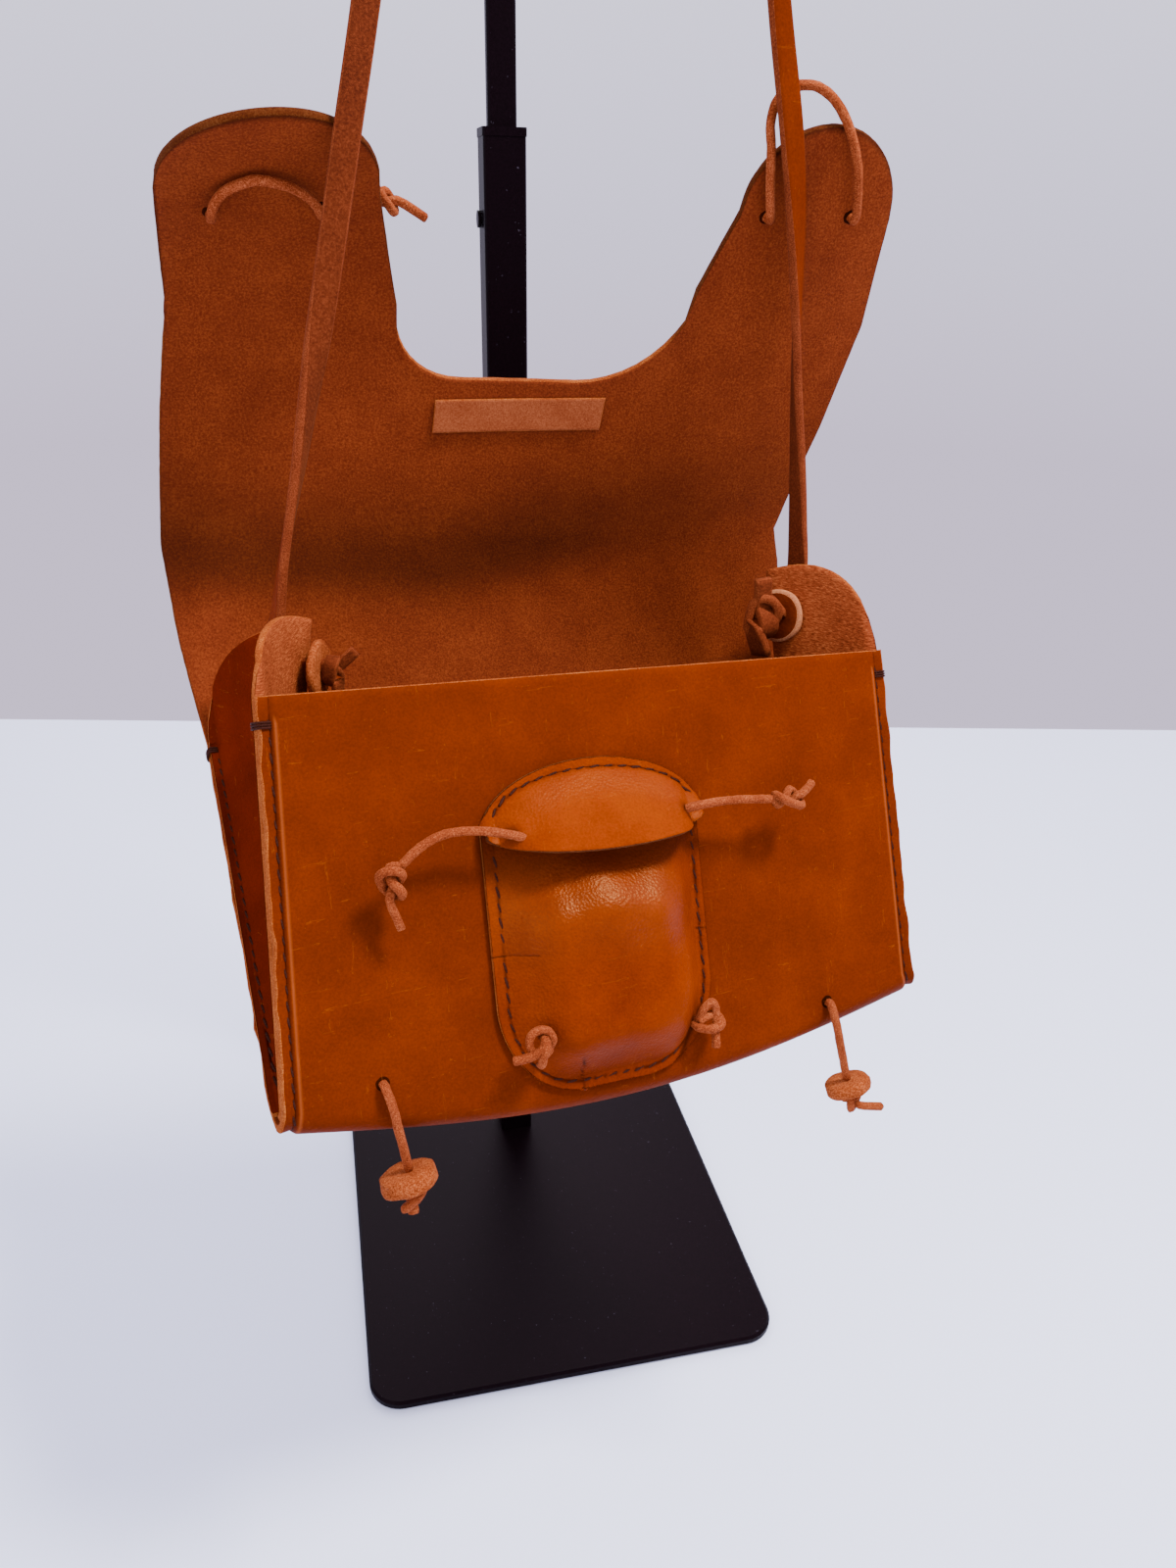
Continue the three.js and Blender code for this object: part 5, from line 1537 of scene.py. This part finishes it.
def buildPocketTies():
    for side, tie in pocketTies.items():
        x, z = tie["ring"]
        height = pouchHeight(x, z) + wall["shell"] / 2 + gap + wall["pocket"]
        height += pocketTieLook["seat"] + tie["off"] * 0.4
        parts = []
        for k, run in enumerate(tieRuns[side]):
            points = toRow([(x + dx, -(height + out), z + up) for dx, out, up in run])
            diameter = cordDiameter * pocketTieLook["thin"]
            look = [pocketTieLook[key] for key in ("perSpan", "rough", "segments")]
            parts.append(tubeParts(points, diameter, *look, 3.0 * k)[:2])
        vertices, faces = joinParts(parts)
        piece = meshObject(f"look_pocket_tie_{side}", vertices, faces, [finish["lace"]])
        settle(piece, laceSlot, f"pocket_tie_{side}")


buildPocketTies()


# the left lace turns down through the lid
laceTurn = [(-41.6, -14, -50.4), (-39, -14.4, -51.2), (-37.2, -13.7, -51.7)]
laceTurn += [(-36.3, -11.8, -52), (-36.1, -9.4, -52)]


def buildLaceTurn():
    tube = tubeParts(toRow(laceTurn), cordDiameter * 1.01, 6, 0.06, 16, 1.0)
    settle(meshObject("look_lace_turn", tube[0], tube[1], [finish["lace"]]), laceSlot)


buildLaceTurn()
print("pocket ties knotted")


# stitches of dark waxed thread, in millimetres and degrees
stitch = {"pitch": 4.9, "length": 4.7, "width": 1.15, "height": 0.95, "slant": 15.0, "seed": 4}
stitch |= {"lift": 0.15, "smallest": 0.86, "largest": 1.06, "bluntness": 0.62}


def stitchTree():
    # one stitch for each step along a line, turned to the way that its surface faces
    tree = bpy.data.node_groups.new("stitchRun", "GeometryNodeTree")
    face = tree.interface
    face.new_socket("Geometry", in_out="INPUT", socket_type="NodeSocketGeometry")
    face.new_socket("Geometry", in_out="OUTPUT", socket_type="NodeSocketGeometry")
    for label in ("Pitch", "Length", "Width", "Height", "Slant"):
        face.new_socket(label, in_out="INPUT", socket_type="NodeSocketFloat")
    face.new_socket("Seed", in_out="INPUT", socket_type="NodeSocketInt")
    face.new_socket("Thread", in_out="INPUT", socket_type="NodeSocketMaterial")
    given = addNode(tree, "NodeGroupInput").outputs
    line = addNode(tree, "GeometryNodeMeshToCurve", {"Mesh": given["Geometry"]})
    spaced = {"mode": "LENGTH", "Curve": line, "Length": given["Pitch"]}
    spaced = addNode(tree, "GeometryNodeResampleCurve", spaced)
    bead = addNode(tree, "GeometryNodeMeshUVSphere", {"Segments": 8, "Rings": 6, "Radius": 0.5})
    size = {"X": given["Length"], "Y": given["Width"], "Z": given["Height"]}
    size = addNode(tree, "ShaderNodeCombineXYZ", size)
    slant = addNode(tree, "ShaderNodeCombineXYZ", {"Z": given["Slant"]})
    # each point is pushed out along the run, which squares off the bead's ends
    spot = addNode(tree, "GeometryNodeInputPosition")
    x, y, z = addNode(tree, "ShaderNodeSeparateXYZ", {0: spot}).outputs
    reach = addNode(tree, "ShaderNodeMath", {"operation": "MULTIPLY", 0: x, 1: 2.0})
    reach = addNode(tree, "ShaderNodeMath", {"operation": "ABSOLUTE", 0: reach})
    power = {"operation": "POWER", 0: reach, 1: stitch["bluntness"]}
    power = addNode(tree, "ShaderNodeMath", power)
    sign = addNode(tree, "ShaderNodeMath", {"operation": "SIGN", 0: x})
    blunt = addNode(tree, "ShaderNodeMath", {"operation": "MULTIPLY", 0: power, 1: sign})
    blunt = addNode(tree, "ShaderNodeMath", {"operation": "MULTIPLY", 0: blunt, 1: 0.5})
    spot = addNode(tree, "ShaderNodeCombineXYZ", {"X": blunt, "Y": y, "Z": z})
    bead = addNode(tree, "GeometryNodeSetPosition", {"Geometry": bead, "Position": spot})
    bead = {"Geometry": bead, "Scale": size, "Rotation": slant}
    bead = addNode(tree, "GeometryNodeTransform", bead)
    facing = {"data_type": "FLOAT_VECTOR", "Name": "facing"}
    facing = addNode(tree, "GeometryNodeInputNamedAttribute", facing)
    along = addNode(tree, "GeometryNodeInputTangent")
    turn = addNode(tree, "FunctionNodeAlignRotationToVector", {"axis": "Z", "Vector": facing})
    turn = {"axis": "X", "pivot_axis": "Z", "Rotation": turn, "Vector": along}
    turn = addNode(tree, "FunctionNodeAlignRotationToVector", turn)
    vary = {"data_type": "FLOAT", 2: stitch["smallest"], 3: stitch["largest"]}
    vary = addNode(tree, "FunctionNodeRandomValue", vary | {"Seed": given["Seed"]}).outputs[1]
    laid = {"Points": spaced, "Instance": bead, "Rotation": turn, "Scale": vary}
    laid = addNode(tree, "GeometryNodeInstanceOnPoints", laid)
    real = addNode(tree, "GeometryNodeRealizeInstances", {0: laid})
    done = {"Geometry": real, "Material": given["Thread"]}
    addNode(tree, "NodeGroupOutput", {0: addNode(tree, "GeometryNodeSetMaterial", done)})
    return tree


def layStitches(name, lines, slotName):
    # every line is a list of points and the ways its surface faces, in the bag's frame
    points, edges, ways = [], [], []
    for line, facing in lines:
        start = len(points)
        points += list(toRow(line) / 1000)
        ways += list(np.asarray(facing) @ bagTurn.T)
        edges += [(start + k, start + k + 1) for k in range(len(line) - 1)]
    mesh = bpy.data.meshes.new(name)
    mesh.from_pydata([tuple(p) for p in points], edges, [])
    facings = mesh.attributes.new("facing", "FLOAT_VECTOR", "POINT")
    facings.data.foreach_set("vector", np.array(ways).ravel())
    guide = addThing(name, mesh)
    modifier = guide.modifiers.new("stitches", "NODES")
    modifier.node_group = stitchGroup
    lengths = ("pitch", "length", "width", "height")
    values = {key.capitalize(): stitch[key] / 1000 for key in lengths}
    values |= {"Slant": math.radians(stitch["slant"]), "Seed": stitch["seed"]}
    values["Thread"] = finish["thread"]
    for item in stitchGroup.interface.items_tree:
        if item.in_out == "INPUT" and item.name in values:
            modifier[item.identifier] = values[item.name]
    graph = bpy.context.evaluated_depsgraph_get()
    made = bpy.data.meshes.new_from_object(guide.evaluated_get(graph))
    bpy.data.objects.remove(guide)
    made.name = name
    made.polygons.foreach_set("use_smooth", [True] * len(made.polygons))
    return settle(addThing(name, made), slotName)


def seamLines():
    shellFacing = -gridNormals(shellMiddle)
    shellGrain = shellMiddle + shellFacing * (wall["shell"] / 2 + 0.1)
    seams = []
    rows = shellLook["frontRows"], shellLook["bendRows"], shellLook["backRows"]
    downFront = list(range(3, rows[0] + 3))
    upBack = list(range(rows[0] + int(rows[1] * 0.8), sum(rows) - 2))
    for column in (5, shellMiddle.shape[0] - 6):
        for run in (downFront, upBack):
            seams.append((shellGrain[column, run], shellFacing[column, run]))
    for side, sections in gussetShape.items():
        facing = gridNormals(np.transpose(sections, (1, 0, 2)))
        facing = np.transpose(facing, (1, 0, 2)) * sideSign[side]
        grain = sections + facing * (wall["gusset"] / 2 + 0.1)
        levels = list(range(4, gusset["levels"] - 1))
        for column in (4, -5):
            seams.append((grain[levels, column], facing[levels, column]))
    return seams


def pocketLines():
    def lift(line, heightAt):
        step = 0.5
        points, facing = [], []
        for x, z in line:
            dx = (heightAt(x + step, z) - heightAt(x - step, z)) / (2 * step)
            dz = (heightAt(x, z + step) - heightAt(x, z - step)) / (2 * step)
            way = unit((-dx, -1, -dz))
            facing.append(way)
            onSheet = onFront(x, z, heightAt(x, z), wall["pocket"])
            points.append(onSheet + way * (wall["pocket"] / 2 + stitch["lift"]))
        return np.array(points), np.array(facing)

    def lidHeight(x, z):
        turn = math.acos(clamp((x - lid["middle"]) / lid["halfWidth"], -0.99, 0.99))
        top = lid["level"] + lid["archHeight"] * math.sin(turn)
        free = lid["level"] - lid["skirt"] * math.sin(turn) - 0.8
        return lidPlace(turn, clamp((top - z) / (top - free)))[2] - 0.5

    down = [p for p in pouchStitchLine if p[1] < -59 or p[0] > 0 and p[1] < -57]
    return [lift(down, lambda x, z: pouchSurface(x, z)[0]), lift(lidStitchLine, lidHeight)]


# thread wound over the end of each seam: the side, the panel and how far from the seam's end
threadBars = [(-1, "front", 8.0), (1, "front", 8.0), (-1, "back", 5.0), (1, "back", 5.0)]
barLook = {"thread": 0.8, "apart": 0.85, "turns": 3, "segments": 10}


def buildThreadBars():
    parts = []
    outside, inside = wall["shell"] / 2, wall["shell"] / 2 + gap + wall["gusset"]
    thread = barLook["thread"]
    half = thread / 2
    for sign, part, down in threadBars:
        panel = backRun(sign)
        for k in range(barLook["turns"]):
            away = down + k * barLook["apart"]
            t = away / panel[0] if part == "front" else 1 - away / panel[4]
            crease = creaseAt(part, t)[0]
            root, edge = crease + grooveRun * 0.8, crease + grooveRun + margin["flange"]
            run = [(root, -outside - half + 0.3), (mix(root, edge, 0.5), -outside - half)]
            run += [(edge - 0.3, -outside - half), (edge + half, -outside * 0.4)]
            run += [(edge + half, inside * 0.6), (edge - 0.6, inside + half)]
            run += [(mix(root, edge, 0.45), inside + half), (root + 0.6, inside - 0.2)]
            points = toRow([shellPoint(sign * q, part, t, depth) for q, depth in run])
            parts.append(tubeParts(points, thread, 5, 0.04, barLook["segments"], 2.0 * k)[:2])
    vertices, faces = joinParts(parts)
    piece = meshObject("thread_bars", vertices, faces, [finish["thread"]])
    return settle(outward(piece), laceSlot)


# a thin dark disc round each punched hole, painted shadow of the hole with its darkened edge: a
# toggle cord has one, an ear loop two
holeEdge = {"radius": 2.35, "thickness": 0.24, "standOff": 0.06, "wobble": 0.12, "segments": 24}
holeEnds = {"toggle_cord": (0,), "ear_loop": (0, -1)}


def buildHoles():
    flat = shellMiddle.reshape(-1, 3)
    ways = gridNormals(shellMiddle).reshape(-1, 3)
    parts = []
    for name in ("toggle_cord_left", "toggle_cord_right", "ear_loop_left", "ear_loop_right"):
        route = np.array(cordRoutes[name], float)
        for end in holeEnds[name.rsplit("_", 1)[0]]:
            inner = route[end]
            outer = route[2 if end == 0 else -3]
            index = np.argmin(np.linalg.norm(flat - inner, axis=1))
            way = ways[index]
            if (outer - inner).dot(way) < 0:
                way = -way
            onSheet = inner - way * (inner - flat[index]).dot(way)
            centre = onSheet + way * (wall["shell"] / 2 + holeEdge["standOff"])
            size = (holeEdge["radius"], holeEdge["thickness"])
            wobble, segments = holeEdge["wobble"], holeEdge["segments"]
            parts.append(discParts(centre, way, *size, 3.0, wobble, segments))
    vertices, faces = joinParts(parts)
    piece = meshObject("hole_edges", toRow(vertices), faces, [finish["holeShadowAndEdge"]])
    return settle(outward(piece), grainSlot)


buildThreadBars()
buildHoles()
stitchGroup = stitchTree()
layStitches("stitches_seams", seamLines(), laceSlot)
layStitches("stitches_pocket", pocketLines(), laceSlot)
print("stitches sewn")


# a white table in front of a pale wall, whose light grows upward; metres here
stageFacts = {"side": 2.2, "near": -2.2, "farLeft": 1.175, "farRight": 0.248, "colour": 0xE4E8FF}
stageFacts |= {"roughness": 0.7, "wallStrength": 1.75}
wallLight = [(-0.16, 0xBFB4CC), (0.0, 0xCEC8E2), (0.28, 0xEAE8FF)]


def addStage():
    mesh = bpy.data.meshes.new("floor")
    side, near = stageFacts["side"], stageFacts["near"]
    corners = [(-side, near, 0), (side, near, 0)]
    corners += [(side, stageFacts["farRight"], 0), (-side, stageFacts["farLeft"], 0)]
    mesh.from_pydata(corners, [], [(0, 1, 2, 3)])
    material, _, shader, _ = startMaterial("paleTable")
    colour = linear(stageFacts["colour"])
    fillNode(shader, {"Base Color": colour, "Roughness": stageFacts["roughness"]})
    mesh.materials.append(material)
    addThing("floor", mesh)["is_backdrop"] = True
    world = bpy.data.worlds.new("studio")
    world.use_nodes = True
    tree = world.node_tree
    way = addNode(tree, "ShaderNodeTexCoord").outputs["Generated"]
    height = addNode(tree, "ShaderNodeSeparateXYZ", {0: way}).outputs["Z"]
    low, high = wallLight[0][0], wallLight[-1][0]
    level = {"From Min": low, "From Max": high, "Value": height}
    level = addNode(tree, "ShaderNodeMapRange", level)
    stops = [((at - low) / (high - low), value) for at, value in wallLight]
    colour = addNode(tree, "ShaderNodeValToRGB", {"Fac": level, "stops": stops})
    strength = stageFacts["wallStrength"]
    fillNode(tree.nodes["Background"], {"Color": colour, "Strength": strength})
    bpy.context.scene.world = world


# place, what it points at, width, watts and colour
lamps = {
    "key": ((0.55, -0.5, 1.6), (0, -0.12, 0.3), 0.34, 42, (1.0, 0.99, 0.98)),
    "fill": ((-1.1, -1.0, 0.9), (0, -0.1, 0.3), 1.3, 8, (0.94, 0.96, 1.0)),
    "rear": ((0.1, 1.2, 1.3), (0, 0, 0.4), 1.0, 14, (0.95, 0.96, 1.0)),
}


def addLamp(name, place, target, size, watts, colour):
    data = bpy.data.lights.new(name, "AREA")
    data.shape = "DISK"
    data.size = size
    data.energy = watts
    data.color = colour
    lamp = addThing(name, data)
    lamp.location = place
    lamp.rotation_euler = (Vector(target) - Vector(place)).to_track_quat("-Z", "Y").to_euler()


addStage()
for name, facts in lamps.items():
    addLamp(name, *facts)
print("table and lamps placed")

for node in ("stand_base", "stand_lower_tube", "stand_upper_tube", "stand_screw", "stand_hook"):
    thing = bpy.data.objects[node]
    thing.data.materials.clear()
    thing.data.materials.append(finish["coated"])

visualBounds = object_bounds()
sizes = {"cad": cadBounds, "visual": visualBounds}
sizes = {key: [list(map(float, point)) for point in box] for key, box in sizes.items()}
